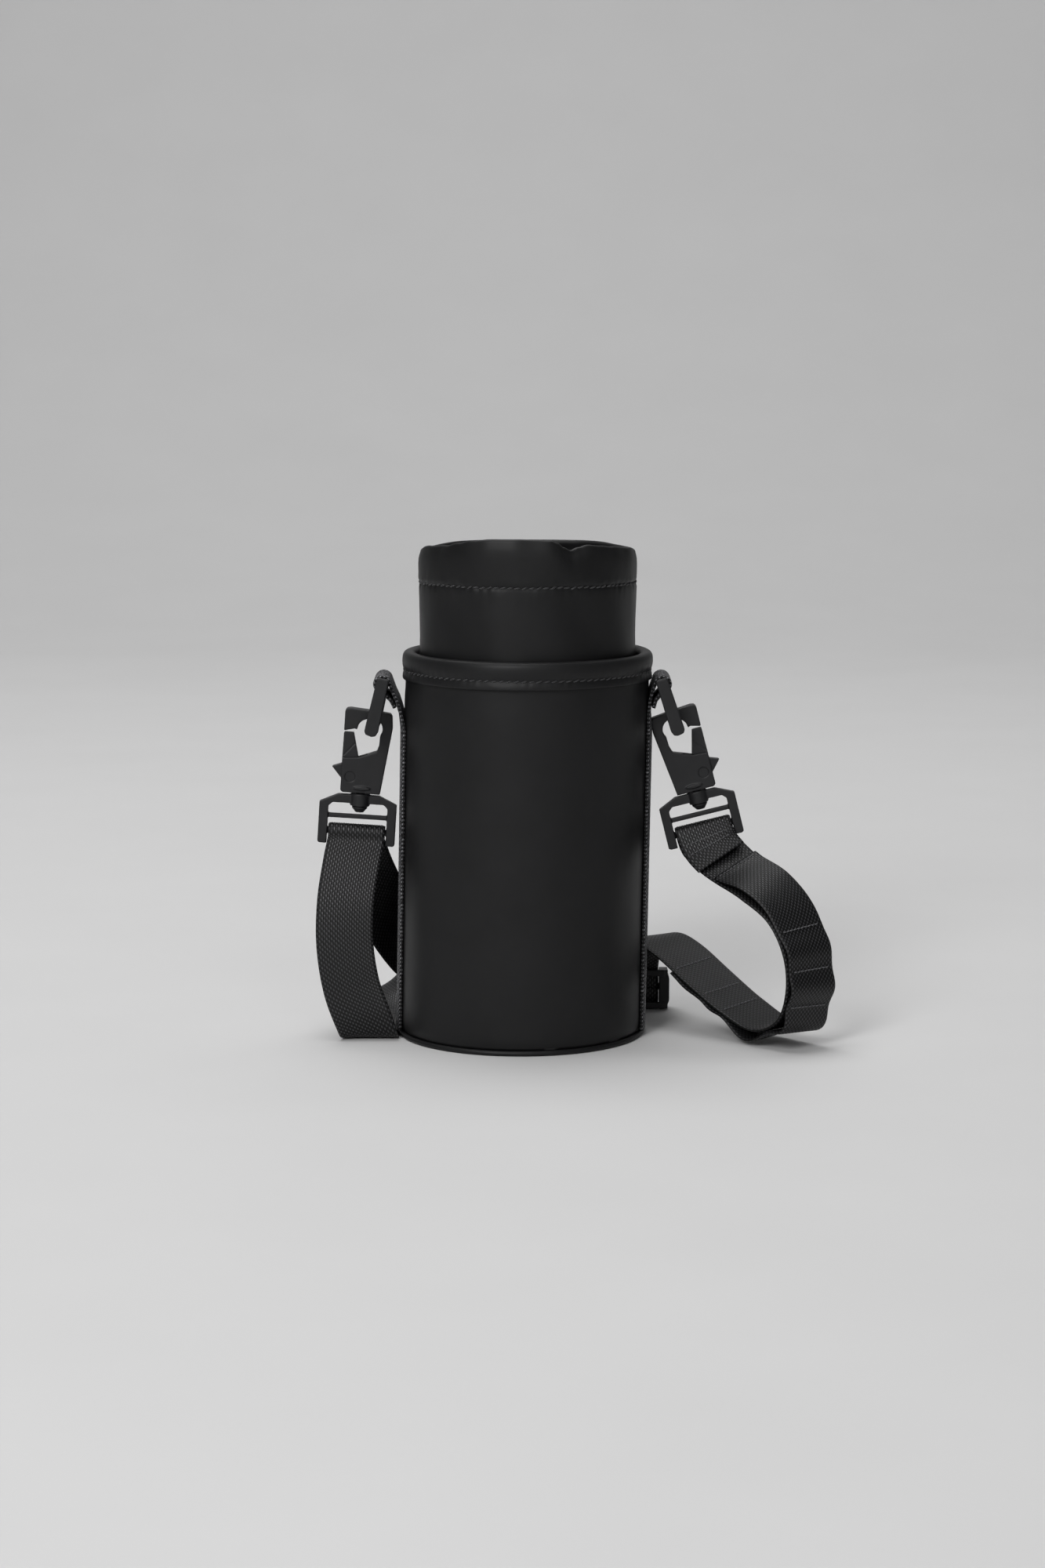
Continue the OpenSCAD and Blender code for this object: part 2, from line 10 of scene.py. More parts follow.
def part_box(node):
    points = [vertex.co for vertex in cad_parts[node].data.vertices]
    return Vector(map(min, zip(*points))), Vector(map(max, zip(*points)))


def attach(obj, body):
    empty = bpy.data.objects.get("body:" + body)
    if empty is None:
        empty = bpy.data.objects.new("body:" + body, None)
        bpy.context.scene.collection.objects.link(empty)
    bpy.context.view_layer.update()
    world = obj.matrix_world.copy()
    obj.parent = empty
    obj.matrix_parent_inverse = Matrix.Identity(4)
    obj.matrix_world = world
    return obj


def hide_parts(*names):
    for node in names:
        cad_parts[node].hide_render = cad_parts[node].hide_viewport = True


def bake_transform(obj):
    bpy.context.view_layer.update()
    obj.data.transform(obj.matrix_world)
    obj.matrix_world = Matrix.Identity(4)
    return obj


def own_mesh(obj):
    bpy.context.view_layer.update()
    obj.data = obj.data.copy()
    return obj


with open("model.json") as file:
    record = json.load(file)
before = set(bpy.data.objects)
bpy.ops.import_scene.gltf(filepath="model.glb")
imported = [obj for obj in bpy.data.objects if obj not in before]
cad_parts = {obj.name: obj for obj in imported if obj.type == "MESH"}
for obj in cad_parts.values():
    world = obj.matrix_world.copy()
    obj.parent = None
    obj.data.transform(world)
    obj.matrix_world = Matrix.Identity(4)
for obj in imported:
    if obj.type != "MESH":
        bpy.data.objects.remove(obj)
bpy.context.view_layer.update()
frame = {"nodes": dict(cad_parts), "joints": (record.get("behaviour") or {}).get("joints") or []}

# Padded bottle bag with a drawstring collar, snap hooks and a webbing strap. Sizes are in millimetres here,
# as in the CAD, and meshes are made in metres.
MM = 0.001
JOINTS = {joint["name"]: joint for joint in frame["joints"]}
SIDES = {-1: "left", 1: "right"}


def low(node):
    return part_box(node)[0] / MM


def high(node):
    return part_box(node)[1] / MM


# The bag's measures, from the CAD
WALL_R = high("back_panel").x
PANEL_LOW = low("front_panel").z
PANEL_TOP = high("front_panel").z
RIM_Z = high("rim_facing").z
FACING_Z = low("rim_facing").z
COLLAR_R = high("drawstring_collar").x
COLLAR_FOOT = low("drawstring_collar").z
LINING_T = 0.8
BORE_R = high("lining_sleeve").x - LINING_T
LINING_TOP = high("lining_sleeve").z
SHELL_T = 1.15
# The lean of the soft bag, at its foot and at its rim
LEAN_FOOT = -0.8
LEAN_RIM = 2.3
# The webbing, its way over a frame's bar, and the wall's side of the side tapes
WEB_W = 25.0
WEB_T = 1.6
WEB_STEP = 1.1
RIBS = 24
WRAP_R = 2.7
TAPE_FACE = WALL_R + 0.1
# Sewn lines: the rim's, and the collar's hem seam, whose height is given at the back and at the front
RIM_STITCH_Z = 161.8
RIM_STITCH_R = WALL_R + 0.42
RIM_STITCHES = 104
HEM_SEAM = (199.2, 200.9)
HEM_STITCHES = 96
# The collar's round lip
LIP_ROUND = 1.6
LIP_STEPS = 8
# The drawcord's ring in the collar, where it leaves by the eyelets, and its knot
CORD_R = 0.8
CORD_RING_R = 46.75
CORD_Z = 212.0
EYELET_X = 5.0
KNOT_AT = (1.1, 54.0, 178.4)
# Middle of the raised lug on a hook's faces, in the hook's own plane
LUG_AT = (0.6, 2.1)


def lean(z):
    """How far the soft bag leans towards +X at a height."""
    return LEAN_FOOT + (LEAN_RIM - LEAN_FOOT) * min(max(z, 0), RIM_Z) / RIM_Z


# ---------- mesh helpers ----------

def add_mesh(name, points, faces, material, body, replaces=()):
    """A piece from points in millimetres, riding on a body."""
    mesh = bpy.data.meshes.new(name)
    mesh.from_pydata([tuple(p) for p in np.asarray(points, float) * MM], [], [tuple(f) for f in faces])
    mesh.validate()
    return add_piece(name, mesh, material, body, replaces)


def add_piece(name, mesh, material, body, replaces=()):
    mesh.polygons.foreach_set("use_smooth", [True] * len(mesh.polygons))
    mesh.materials.clear()
    mesh.materials.append(material)
    piece = bpy.data.objects.new(name, mesh)
    bpy.context.scene.collection.objects.link(piece)
    if body:
        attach(piece, body)
    if replaces:
        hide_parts(*replaces)
    return piece


def grid_faces(rows, columns, close_rows=False, close_columns=True):
    """Quads over a grid of points stored row by row."""
    faces = []
    for i in range(rows if close_rows else rows - 1):
        for k in range(columns if close_columns else columns - 1):
            j, m = (i + 1) % rows, (k + 1) % columns
            faces.append((i * columns + k, i * columns + m, j * columns + m, j * columns + k))
    return faces


def end_faces(rows, columns):
    """One face over each end of a grid whose columns close into a loop."""
    return [tuple(range(columns))[::-1], tuple((rows - 1) * columns + k for k in range(columns))]


def prism(first, second, flip):
    """Points and faces of a solid between two outlines with as many points each."""
    count = len(first)
    faces = [(k, (k + 1) % count, count + (k + 1) % count, count + k) for k in range(count)]
    faces += end_faces(2, count)
    if flip:
        faces = [f[::-1] for f in faces]
    return first + second, faces


def joined(parts):
    """Points and faces of several meshes in one."""
    points, faces = [], []
    for some, theirs in parts:
        base = len(points)
        points.extend(some)
        faces.extend(tuple(base + k for k in f) for f in theirs)
    return points, faces


def noise_at(x, y, z):
    return noise.noise(Vector((x, y, z)))


def noise_round(angle, scale, z=0.0):
    """Noise that closes on itself round the bag, with about this many bumps to a radian."""
    return noise_at(math.sin(angle) * scale, math.cos(angle) * scale, z)


def bell(gap, width):
    """1 where the gap is none, falling smoothly to 0 a few widths away."""
    return math.exp(-(gap / width) ** 2)


def outward(angle):
    return np.array((math.sin(angle), -math.cos(angle), 0))


def lathe(profile, turns, shape=None, start=0.0, sweep=360.0):
    """Points and faces of a closed profile of (radius, height) turned about Z.
    shape(angle, radius, height) gives what to add to the radius and to the height."""
    whole = abs(sweep - 360) < 0.001
    stops = turns if whole else turns + 1
    points = []
    for i in range(stops):
        angle = math.radians(start + sweep * i / turns)
        for radius, height in profile:
            out, up = shape(angle, radius, height) if shape else (0, 0)
            r = radius + out
            points.append((r * math.sin(angle) + lean(height), -r * math.cos(angle), height + up))
    faces = grid_faces(stops, len(profile), close_rows=whole)
    if not whole:
        faces += end_faces(stops, len(profile))
    return points, faces


def disc(radius, z_low, z_high, bulge=0.0, rings=10, turns=128, shape=None):
    """A round pad whose top and bottom bulge a little towards the middle."""
    hole = 0.02
    edge = (z_high - z_low) * 0.3
    profile = [(hole, z_low)] + [(radius * k / rings, z_low) for k in range(1, rings)]
    profile += [(radius - edge * 0.5, z_low), (radius, z_low + edge)]
    profile += [(radius, z_high - edge), (radius - edge * 0.5, z_high)]
    for k in range(rings - 1, 0, -1):
        profile.append((radius * k / rings, z_high + bulge * (1 - (k / rings) ** 2)))
    profile.append((hole, z_high + bulge))
    return lathe(profile, turns, shape)


def unit(rows):
    return rows / np.maximum(np.linalg.norm(rows, axis=1, keepdims=True), 1e-9)


def directions(points):
    """Unit directions along a path, from each point's neighbours."""
    ahead = np.vstack([points[1:], points[-1:]])
    behind = np.vstack([points[:1], points[:-1]])
    return unit(ahead - behind)


def spline(keys, step=WEB_STEP):
    """Rows along the CAD's own Catmull-Rom path through its keys, and each row's place in spans."""
    keys = np.array(keys, float)
    rows, places = [], []
    last = len(keys) - 1
    for i in range(last):
        a, b, c, d = keys[max(i - 1, 0)], keys[i], keys[i + 1], keys[min(i + 2, last)]
        count = max(2, round(np.linalg.norm((c - b)[:3]) / step))
        for k in range(count):
            t = k / count
            rows.append(0.5 * (2 * b + (c - a) * t + (2 * a - 5 * b + 4 * c - d) * t * t
                               + (3 * b - a - 3 * c + d) * t ** 3))
            places.append(i + t)
    rows.append(keys[-1])
    places.append(float(last))
    return np.array(rows), np.array(places)


def frames_of(rows):
    """Centre, width direction and face normal of each row of webbing."""
    centre = rows[:, :3]
    along = directions(centre)
    wide = rows[:, 3:6]
    wide = unit(wide - np.sum(wide * along, axis=1, keepdims=True) * along)
    return centre, along, wide, np.cross(along, wide)


def webbing_section(ribs, depth):
    """Points (side, height) round the webbing: ribbed on both faces, thin and round at the edges."""
    count = 2 * ribs
    edge_drop, edge_half = 0.22, 0.18
    top = []
    for i in range(1, count):
        side = -WEB_W / 2 + WEB_W * i / count
        beside_edge = min(i, count - i) == 1
        height = WEB_T / 2 - (depth if i % 2 == 0 else 0) - (edge_drop if beside_edge else 0)
        top.append((side, height))
    edge = [(WEB_W / 2, edge_half), (WEB_W / 2, -edge_half)]
    other = [(-side, -height) for side, height in top]
    return top + edge + other + [(-s, -h) for s, h in edge]


def webbing(name, rows, material, body, replaces=(), lift=None, run_start=0.0, ribs=RIBS,
            depth=0.16, hug=None):
    """Woven tape along rows, with the run along it and the side across it kept for the weave.
    hug gives, row by row, how far the tape bends across its width round a wall behind it, from 0 to 1."""
    centre, _, wide, normal = frames_of(rows)
    if lift is not None:
        centre = centre + normal * lift[:, None]
    section = np.array(webbing_section(ribs, depth))
    step = np.linalg.norm(np.diff(centre, axis=0), axis=1)
    run = run_start + np.concatenate([[0], np.cumsum(step)])
    points = (centre[:, None, :] + wide[:, None, :] * section[None, :, :1]
              + normal[:, None, :] * section[None, :, 1:])
    if hug is not None:
        fall = WALL_R - np.sqrt(WALL_R ** 2 - section[:, 0] ** 2)
        points -= np.array(hug)[:, None, None] * normal[:, None, :] * fall[None, :, None]
    count = len(section)
    faces = grid_faces(len(rows), count) + end_faces(len(rows), count)
    piece = add_mesh(name, points.reshape(-1, 3), faces, material, body, replaces)
    for label, values in (("run", np.repeat(run, count)), ("side", np.tile(section[:, 0], len(rows)))):
        layer = piece.data.attributes.new(label, "FLOAT", "POINT")
        layer.data.foreach_set("value", (values * MM).astype(np.float32))
    return piece, run[-1]


def tube(path, radius, sides=12, radii=None):
    """Round tube along points, with a frame carried from ring to ring. radii can give each ring its own."""
    path = np.array(path, float)
    along = directions(path)
    up = np.cross(along[0], (0.3, 0.2, 0.9))
    points = []
    for i, (p, t) in enumerate(zip(path, along)):
        up = up - np.dot(up, t) * t
        up /= np.linalg.norm(up)
        out = np.cross(t, up)
        r = radii[i] if radii is not None else radius
        for k in range(sides):
            a = 2 * math.pi * k / sides
            points.append(p + r * (math.cos(a) * up + math.sin(a) * out))
    faces = grid_faces(len(path), sides) + end_faces(len(path), sides)
    return points, [f[::-1] for f in faces]


def stitch(centre, along, normal, length, radius):
    """One sewn thread: a short bead that dips into the cloth at both ends."""
    centre, along, normal = (np.array(v, float) for v in (centre, along, normal))
    path, radii = [], []
    steps = 6
    for k in range(steps + 1):
        t = k / steps * 2 - 1
        rise = 0.9 * (1 - t * t) - 0.35
        path.append(centre + along * t * length / 2 + normal * radius * rise)
        radii.append(radius * (1 - 0.45 * t * t))
    return tube(path, radius, 6, radii)


# ---------- materials ----------

class Shader:
    """A principled material whose colour, roughness and bump come from nodes."""

    def __init__(self, name, roughness, **settings):
        self.material = bpy.data.materials.new(name)
        self.material.use_nodes = True
        self.tree = self.material.node_tree
        self.surface = self.tree.nodes["Principled BSDF"]
        self.surface.inputs["Roughness"].default_value = roughness
        for label, value in settings.items():
            self.surface.inputs[label.replace("_", " ")].default_value = value

    def node(self, kind, inputs=(), **settings):
        made = self.tree.nodes.new(kind)
        for label, value in settings.items():
            setattr(made, label, value)
        for place, value in dict(inputs).items():
            self.feed(made.inputs[place], value)
        return made

    def feed(self, socket, value):
        if isinstance(value, bpy.types.NodeSocket):
            self.tree.links.new(value, socket)
        else:
            socket.default_value = value

    def math(self, operation, first, second=0.0, third=0.0, clamp=False):
        made = self.node("ShaderNodeMath", {0: first, 1: second, 2: third}, operation=operation)
        made.use_clamp = clamp
        return made.outputs[0]

    def place(self):
        return self.node("ShaderNodeTexCoord").outputs["Object"]

    def speckle(self, scale, detail, roughness):
        inputs = {"Vector": self.place(), "Scale": scale, "Detail": detail, "Roughness": roughness}
        return self.node("ShaderNodeTexNoise", inputs).outputs[0]

    def between(self, value, dark, light, low_end=0.0, high_end=1.0):
        """Colour that runs from dark to light as the value goes from the low end to the high end."""
        ramp = self.node("ShaderNodeValToRGB", {0: value})
        for element, place, colour in zip(ramp.color_ramp.elements, (low_end, high_end), (dark, light)):
            element.position = place
            element.color = (*colour, 1)
        self.tree.links.new(ramp.outputs[0], self.surface.inputs["Base Color"])

    def rough(self, value, low_rough, high_rough):
        spread = self.node("ShaderNodeMapRange", {"Value": value, "To Min": low_rough, "To Max": high_rough})
        self.tree.links.new(spread.outputs[0], self.surface.inputs["Roughness"])

    def bump(self, height, distance, strength, under=None):
        """Relief from a height, over another relief if there is one under it. The distance is in metres."""
        inputs = {"Height": height, "Distance": distance, "Strength": strength}
        if under is not None:
            inputs["Normal"] = under
        made = self.node("ShaderNodeBump", inputs)
        self.tree.links.new(made.outputs[0], self.surface.inputs["Normal"])
        return made.outputs[0]


def grey(value, blue=1.06):
    return (value, value, value * blue)


def coated_fabric(name, value):
    """Rubberised cloth: matt, with a very fine grain and soft handling marks."""
    shader = Shader(name, 0.5, Specular_IOR_Level=0.26)
    marks = shader.speckle(38, 5, 0.6)
    shader.between(marks, grey(value * 0.86), grey(value * 1.18), 0.3, 0.7)
    shader.rough(marks, 0.42, 0.56)
    grain = shader.speckle(5200, 2, 0.6)
    first = shader.bump(grain, 0.00004, 0.35)
    shader.bump(shader.speckle(60, 4, 0.55), 0.0006, 0.22, first)
    return shader.material


def moulded_plastic(name, value):
    """Matt moulded nylon with a fine spark-eroded grain, polished a little by handling."""
    shader = Shader(name, 0.45, Specular_IOR_Level=0.36)
    wear = shader.speckle(160, 4, 0.6)
    shader.between(wear, grey(value * 0.9, 1.1), grey(value * 1.15, 1.1), 0.35, 0.7)
    shader.rough(wear, 0.4, 0.54)
    shader.bump(shader.speckle(7000, 2, 0.7), 0.00003, 0.5)
    return shader.material


def weave(name, dark, light, pitch, float_pitch, slant, sharp, roughness, mottled=0.0):
    """Woven tape: lengthwise ribs at a pitch, each with yarn floats whose places step by a slant from rib
    to rib. Its colour is painted light and shade: lighter on the raised floats as a painted glint, and darker
    in the grooves between the ribs as painted shade. Mottled yarn has light and dark fibres mixed in it,
    which is the yarn's own colour."""
    shader = Shader(name, 0.5, Specular_IOR_Level=0.3)
    run = shader.node("ShaderNodeAttribute", attribute_name="run").outputs["Fac"]
    side = shader.node("ShaderNodeAttribute", attribute_name="side").outputs["Fac"]
    ribs = shader.math("MULTIPLY_ADD", side, 1 / (pitch * MM), 200.0)
    which = shader.math("FLOOR", ribs)
    part = shader.math("FRACT", ribs)
    arch = shader.math("SINE", shader.math("MULTIPLY", part, math.pi))
    drift = shader.math("MULTIPLY_ADD", part, 0.18, shader.math("MULTIPLY", which, slant))
    phase = shader.math("ADD", shader.math("MULTIPLY", run, 1 / (float_pitch * MM)), drift)
    wave = shader.math("SINE", shader.math("MULTIPLY", phase, 2 * math.pi))
    float_yarn = shader.math("MULTIPLY_ADD", wave, 0.5 * sharp, 0.5, clamp=True)
    height = shader.math("MULTIPLY", arch, shader.math("MULTIPLY_ADD", float_yarn, 0.55, 0.45))
    # The colour value here is painted: lighter on the raised yarn floats as a painted glint, darker in the
    # rib grooves as painted shade.
    painted_glint_and_fibre_tone = shader.math("MULTIPLY", height, shader.math("MULTIPLY_ADD", float_yarn, 0.8, 0.2))
    cloud = shader.speckle(900, 3, 0.6)
    if mottled:
        fibres = shader.math("MULTIPLY_ADD", cloud, mottled, 1 - mottled * 0.5)
        # Mottled fibres are the yarn's own colour, laid over the painted glint and painted shade.
        painted_glint_and_fibre_tone = shader.math("MULTIPLY", painted_glint_and_fibre_tone, shader.math("POWER", fibres, 3.0), clamp=True)
    shader.between(painted_glint_and_fibre_tone, grey(dark), grey(light), 0.3, 1.0)
    shader.rough(painted_glint_and_fibre_tone, *roughness)
    shader.bump(height, 0.00015, 0.8)
    return shader.material


def twisted_yarn(name, dark, light, scale):
    """Thread or braid: slanting strands seen at this scale."""
    shader = Shader(name, 0.5, Sheen_Weight=0.1)
    inputs = {"Vector": shader.place(), "Scale": scale, "Distortion": 1.5, "Detail": 2.0}
    wave = shader.node("ShaderNodeTexWave", inputs, bands_direction="DIAGONAL").outputs["Fac"]
    shader.between(wave, grey(dark), grey(light), 0.2, 0.9)
    shader.rough(wave, 0.62, 0.42)
    shader.bump(wave, 0.0001, 0.6)
    return shader.material


def closed_foam(name, value):
    shader = Shader(name, 0.9)
    bubbles = shader.node("ShaderNodeTexVoronoi", {"Vector": shader.place(), "Scale": 1400.0})
    cells = bubbles.outputs["Distance"]
    shader.between(cells, grey(value * 1.2), grey(value * 0.7), 0.1, 0.8)
    shader.bump(cells, 0.0001, 0.8)
    return shader.material


def plain_lining(name, value):
    """Thin plain-weave lining."""
    shader = Shader(name, 0.6, Sheen_Weight=0.12)
    inputs = {"Vector": shader.place(), "Scale": 420.0, "Distortion": 0.4}
    bands = [shader.node("ShaderNodeTexWave", inputs, bands_direction=way).outputs["Fac"]
             for way in ("Z", "DIAGONAL")]
    threads = shader.math("MULTIPLY", *bands)
    shader.between(threads, grey(value * 0.6), grey(value * 1.3))
    shader.bump(threads, 0.00006, 0.7)
    return shader.material


def drawn_steel(name):
    shader = Shader(name, 0.35, Metallic=1.0)
    lines = shader.speckle(1500, 3, 0.6)
    shader.between(lines, (0.42, 0.42, 0.44), (0.58, 0.58, 0.6), 0.3, 0.7)
    shader.rough(lines, 0.25, 0.45)
    shader.bump(lines, 0.00002, 0.4)
    return shader.material


SHELL = coated_fabric("coated_cloth", 0.0075)
COLLAR = coated_fabric("collar_cloth", 0.0065)
PLASTIC = moulded_plastic("moulded_nylon", 0.0105)
# The strap's light value is a painted glint on its float crests; the heather tape's light value is partly its
# own light fibres and partly a painted glint.
STRAP = weave("strap_weave", 0.0008, 0.055, WEB_W / RIBS, 2.1, 0.5, 1.5, (0.52, 0.25))
HEATHER = weave("heather_weave", 0.003, 0.24, 0.9, 1.7, 0.5, 2.2, (0.7, 0.45), mottled=1.8)
THREAD = twisted_yarn("sewing_thread", 0.006, 0.05, 900.0)
LIGHT_THREAD = twisted_yarn("strap_thread", 0.02, 0.16, 900.0)
BRAID = twisted_yarn("braided_cord", 0.008, 0.04, 520.0)
LINING = plain_lining("lining_cloth", 0.035)
FOAM = closed_foam("closed_foam", 0.12)
BOARD = moulded_plastic("stiff_board", 0.03)
STEEL = drawn_steel("drawn_steel")


# ---------- camera, light and floor ----------

def make_camera():
    """A long lens in front of the bag, looking down on it a little."""
    down = 8.095
    data = bpy.data.cameras.new("camera")
    data.lens = 84.45
    data.sensor_width = 36
    camera = bpy.data.objects.new("camera", data)
    camera.location = (0, -1.6, 0.3382)
    camera.rotation_euler = (math.radians(90 - down), 0, 0)
    bpy.context.scene.collection.objects.link(camera)
    bpy.context.scene.camera = camera


def soft_light(name, place, aim, size, power):
    data = bpy.data.lights.new(name, "AREA")
    data.shape = "RECTANGLE"
    data.size, data.size_y = size
    data.energy = power
    lamp = bpy.data.objects.new(name, data)
    lamp.location = place
    lamp.rotation_euler = (Vector(aim) - Vector(place)).to_track_quat("-Z", "Y").to_euler()
    bpy.context.scene.collection.objects.link(lamp)


def make_stage():
    """Pale floor that sweeps up into a backdrop."""
    shader = Shader("studio_paper", 0.85, Specular_IOR_Level=0.1)
    shader.between(shader.speckle(9, 2, 0.5), (0.60, 0.598, 0.598), (0.63, 0.628, 0.628))
    half, front, bend, top = 9.0, -6.0, 1.6, 6.0
    profile = [(front, 0.0), (bend, 0.0)]
    for a in range(6, 91, 6):
        turn = math.radians(a)
        profile.append((bend + bend * math.sin(turn), bend - bend * math.cos(turn)))
    profile.append((2 * bend, top))
    points = [(x, y, z) for y, z in profile for x in (-half, half)]
    faces = grid_faces(len(profile), 2, close_columns=False)
    mesh = bpy.data.meshes.new("studio_floor")
    mesh.from_pydata(points, [], faces)
    mesh.polygons.foreach_set("use_smooth", [True] * len(faces))
    mesh.materials.append(shader.material)
    floor = bpy.data.objects.new("studio_floor", mesh)
    bpy.context.scene.collection.objects.link(floor)


def make_light():
    world = bpy.data.worlds.new("studio")
    world.use_nodes = True
    background = world.node_tree.nodes["Background"]
    background.inputs["Color"].default_value = (0.86, 0.87, 0.88, 1)
    background.inputs["Strength"].default_value = 0.13
    bpy.context.scene.world = world
    bpy.context.scene.view_settings.view_transform = "Standard"
    soft_light("key", (-0.85, -1.85, 1.35), (0, 0, 0.1), (0.7, 1.2), 28)
    soft_light("front_fill", (0.6, -2.4, 0.8), (0, 0, 0.1), (0.6, 1.0), 3.5)
    soft_light("floor_wash", (0, -5.0, 4.4), (0, -5.8, 0), (4.0, 2.6), 34)
    soft_light("top", (-0.3, 0.2, 2.2), (0, 0.1, 0), (1.5, 1.3), 28)
    soft_light("backdrop", (0, 1.2, 2.6), (0, 2.8, 0.6), (3.0, 1.0), 26)


# ---------- bag ----------

def soft_wall(angle, radius, height):
    """The padded wall: drawn in at the base seam and under the rim, and never quite true."""
    sag = 0.28 * noise_round(angle, 1.6, height / 55 + 3.1)
    sag += 0.10 * noise_round(angle, 5, height / 22 + 8.4)
    foot = 0.75 * bell(height - PANEL_LOW, 2.6)
    neck = 0.30 * bell(height - FACING_Z + 2, 5)
    away_from_tape = 1 - bell(abs(math.sin(angle)) - 1, 0.04)
    on_outside = radius > WALL_R - SHELL_T / 2
    return (-abs(0.3 + sag) * away_from_tape - foot - neck) * on_outside, 0


def make_walls():
    near_foot = np.linspace(PANEL_LOW, PANEL_LOW + 8, 9)
    heights = np.concatenate([near_foot, np.linspace(PANEL_LOW + 11, PANEL_TOP, 52)])
    profile = [(WALL_R, z) for z in heights] + [(WALL_R - SHELL_T, z) for z in heights[::-4]]
    profile.append((WALL_R - SHELL_T, PANEL_LOW))
    sweep = 179.8
    for name, middle in (("front", 0), ("back", 180)):
        points, faces = lathe(profile, 110, soft_wall, middle - sweep / 2, sweep)
        add_mesh(f"{name}_wall", points, faces, SHELL, "bag", [f"{name}_panel"])


def base_ripple(angle, radius, height):
    """The underside lifts a little here and there."""
    return 0, 0.08 * abs(noise_at(radius / 9, angle * 3, 0)) * (height < 1)


def welt_knead(angle, _radius, _height):
    return 0.07 * noise_round(angle, 12, 1.7) - 0.05, 0


def make_base():
    points, faces = disc(-low("base_panel").x, 0, high("base_panel").z, 0, 12, 160, base_ripple)
    add_mesh("base_skin", points, faces, SHELL, "bag", ["base_panel"])
    tube_r = (high("base_welt").z - low("base_welt").z) / 2
    centre_r = high("base_welt").x - tube_r
    profile = [(centre_r + tube_r * math.cos(a), tube_r + tube_r * math.sin(a))
               for a in np.linspace(0, 2 * math.pi, 16, endpoint=False)]
    points, faces = lathe(profile, 260, welt_knead)
    add_mesh("base_piping", points, faces, SHELL, "bag", ["base_welt"])
    points, faces = disc(high("base_stiffener").x, low("base_stiffener").z, high("base_stiffener").z)
    add_mesh("base_board", points, faces, BOARD, "bag", ["base_stiffener"])


def lining_quilt(angle, radius, height):
    """Upright seams that draw the lining's inner face in between them."""
    if radius > BORE_R + LINING_T / 2:
        return 0, 0
    foot, tall = 9, 157
    fade = math.sin(math.pi * (height - foot) / tall) ** 0.3
    return -0.22 * abs(math.sin(angle * 4)) ** 0.5 * fade, 0


def foam_dent(angle, radius, height):
    on_outside = radius > BORE_R + 2
    return -0.1 * abs(noise_round(angle, 4, height / 20)) * on_outside, 0


def make_padding():
    """Foam and lining inside the wall; the lining is quilted by a few upright seams."""
    heights = np.linspace(low("lining_sleeve").z, LINING_TOP, 40)
    profile = [(BORE_R + 0.75, z) for z in heights] + [(BORE_R + 0.25, z) for z in heights[::-1]]
    points, faces = lathe(profile, 200, lining_quilt)
    add_mesh("lining_wall", points, faces, LINING, "bag", ["lining_sleeve"])
    points, faces = disc(BORE_R + 0.7, low("lining_base").z, high("lining_base").z - 0.2, 0.2, 14, 128)
    add_mesh("lining_floor", points, faces, LINING, "bag", ["lining_base"])
    inner, outer = BORE_R + 1.0, high("foam_sleeve").x - 0.1
    heights = np.linspace(low("foam_sleeve").z + 0.1, high("foam_sleeve").z - 0.1, 30)
    profile = [(outer, z) for z in heights] + [((inner + outer) / 2, LINING_TOP)]
    profile += [(inner, z) for z in heights[::-1]]
    points, faces = lathe(profile, 128, foam_dent)
    add_mesh("foam_wall", points, faces, FOAM, "bag", ["foam_sleeve"])
    z_low, z_high = low("foam_base").z + 0.05, high("foam_base").z - 0.25
    points, faces = disc(high("foam_base").x - 0.1, z_low, z_high, 0.2)
    add_mesh("foam_pad", points, faces, FOAM, "bag", ["foam_base"])


def rim_shape(angle, radius, height):
    """Puckers along the stitched line of the rim, and a roll that is a little uneven."""
    near = bell(height - RIM_STITCH_Z, 2.4) * (radius > WALL_R)
    pucker = 0.34 * noise_round(angle, 26, height / 6 + 4.0)
    roll = 0.25 * noise_round(angle, 2.2, 0.3) * (height > RIM_STITCH_Z)
    lift = 0.35 * noise_round(angle, 1.3, 6.0) * (height > RIM_STITCH_Z + 2)
    hem = 0.16 * noise_round(angle, 5, 2.0) * bell(height - FACING_Z, 2)
    return near * (pucker - 0.05) + roll + hem, lift


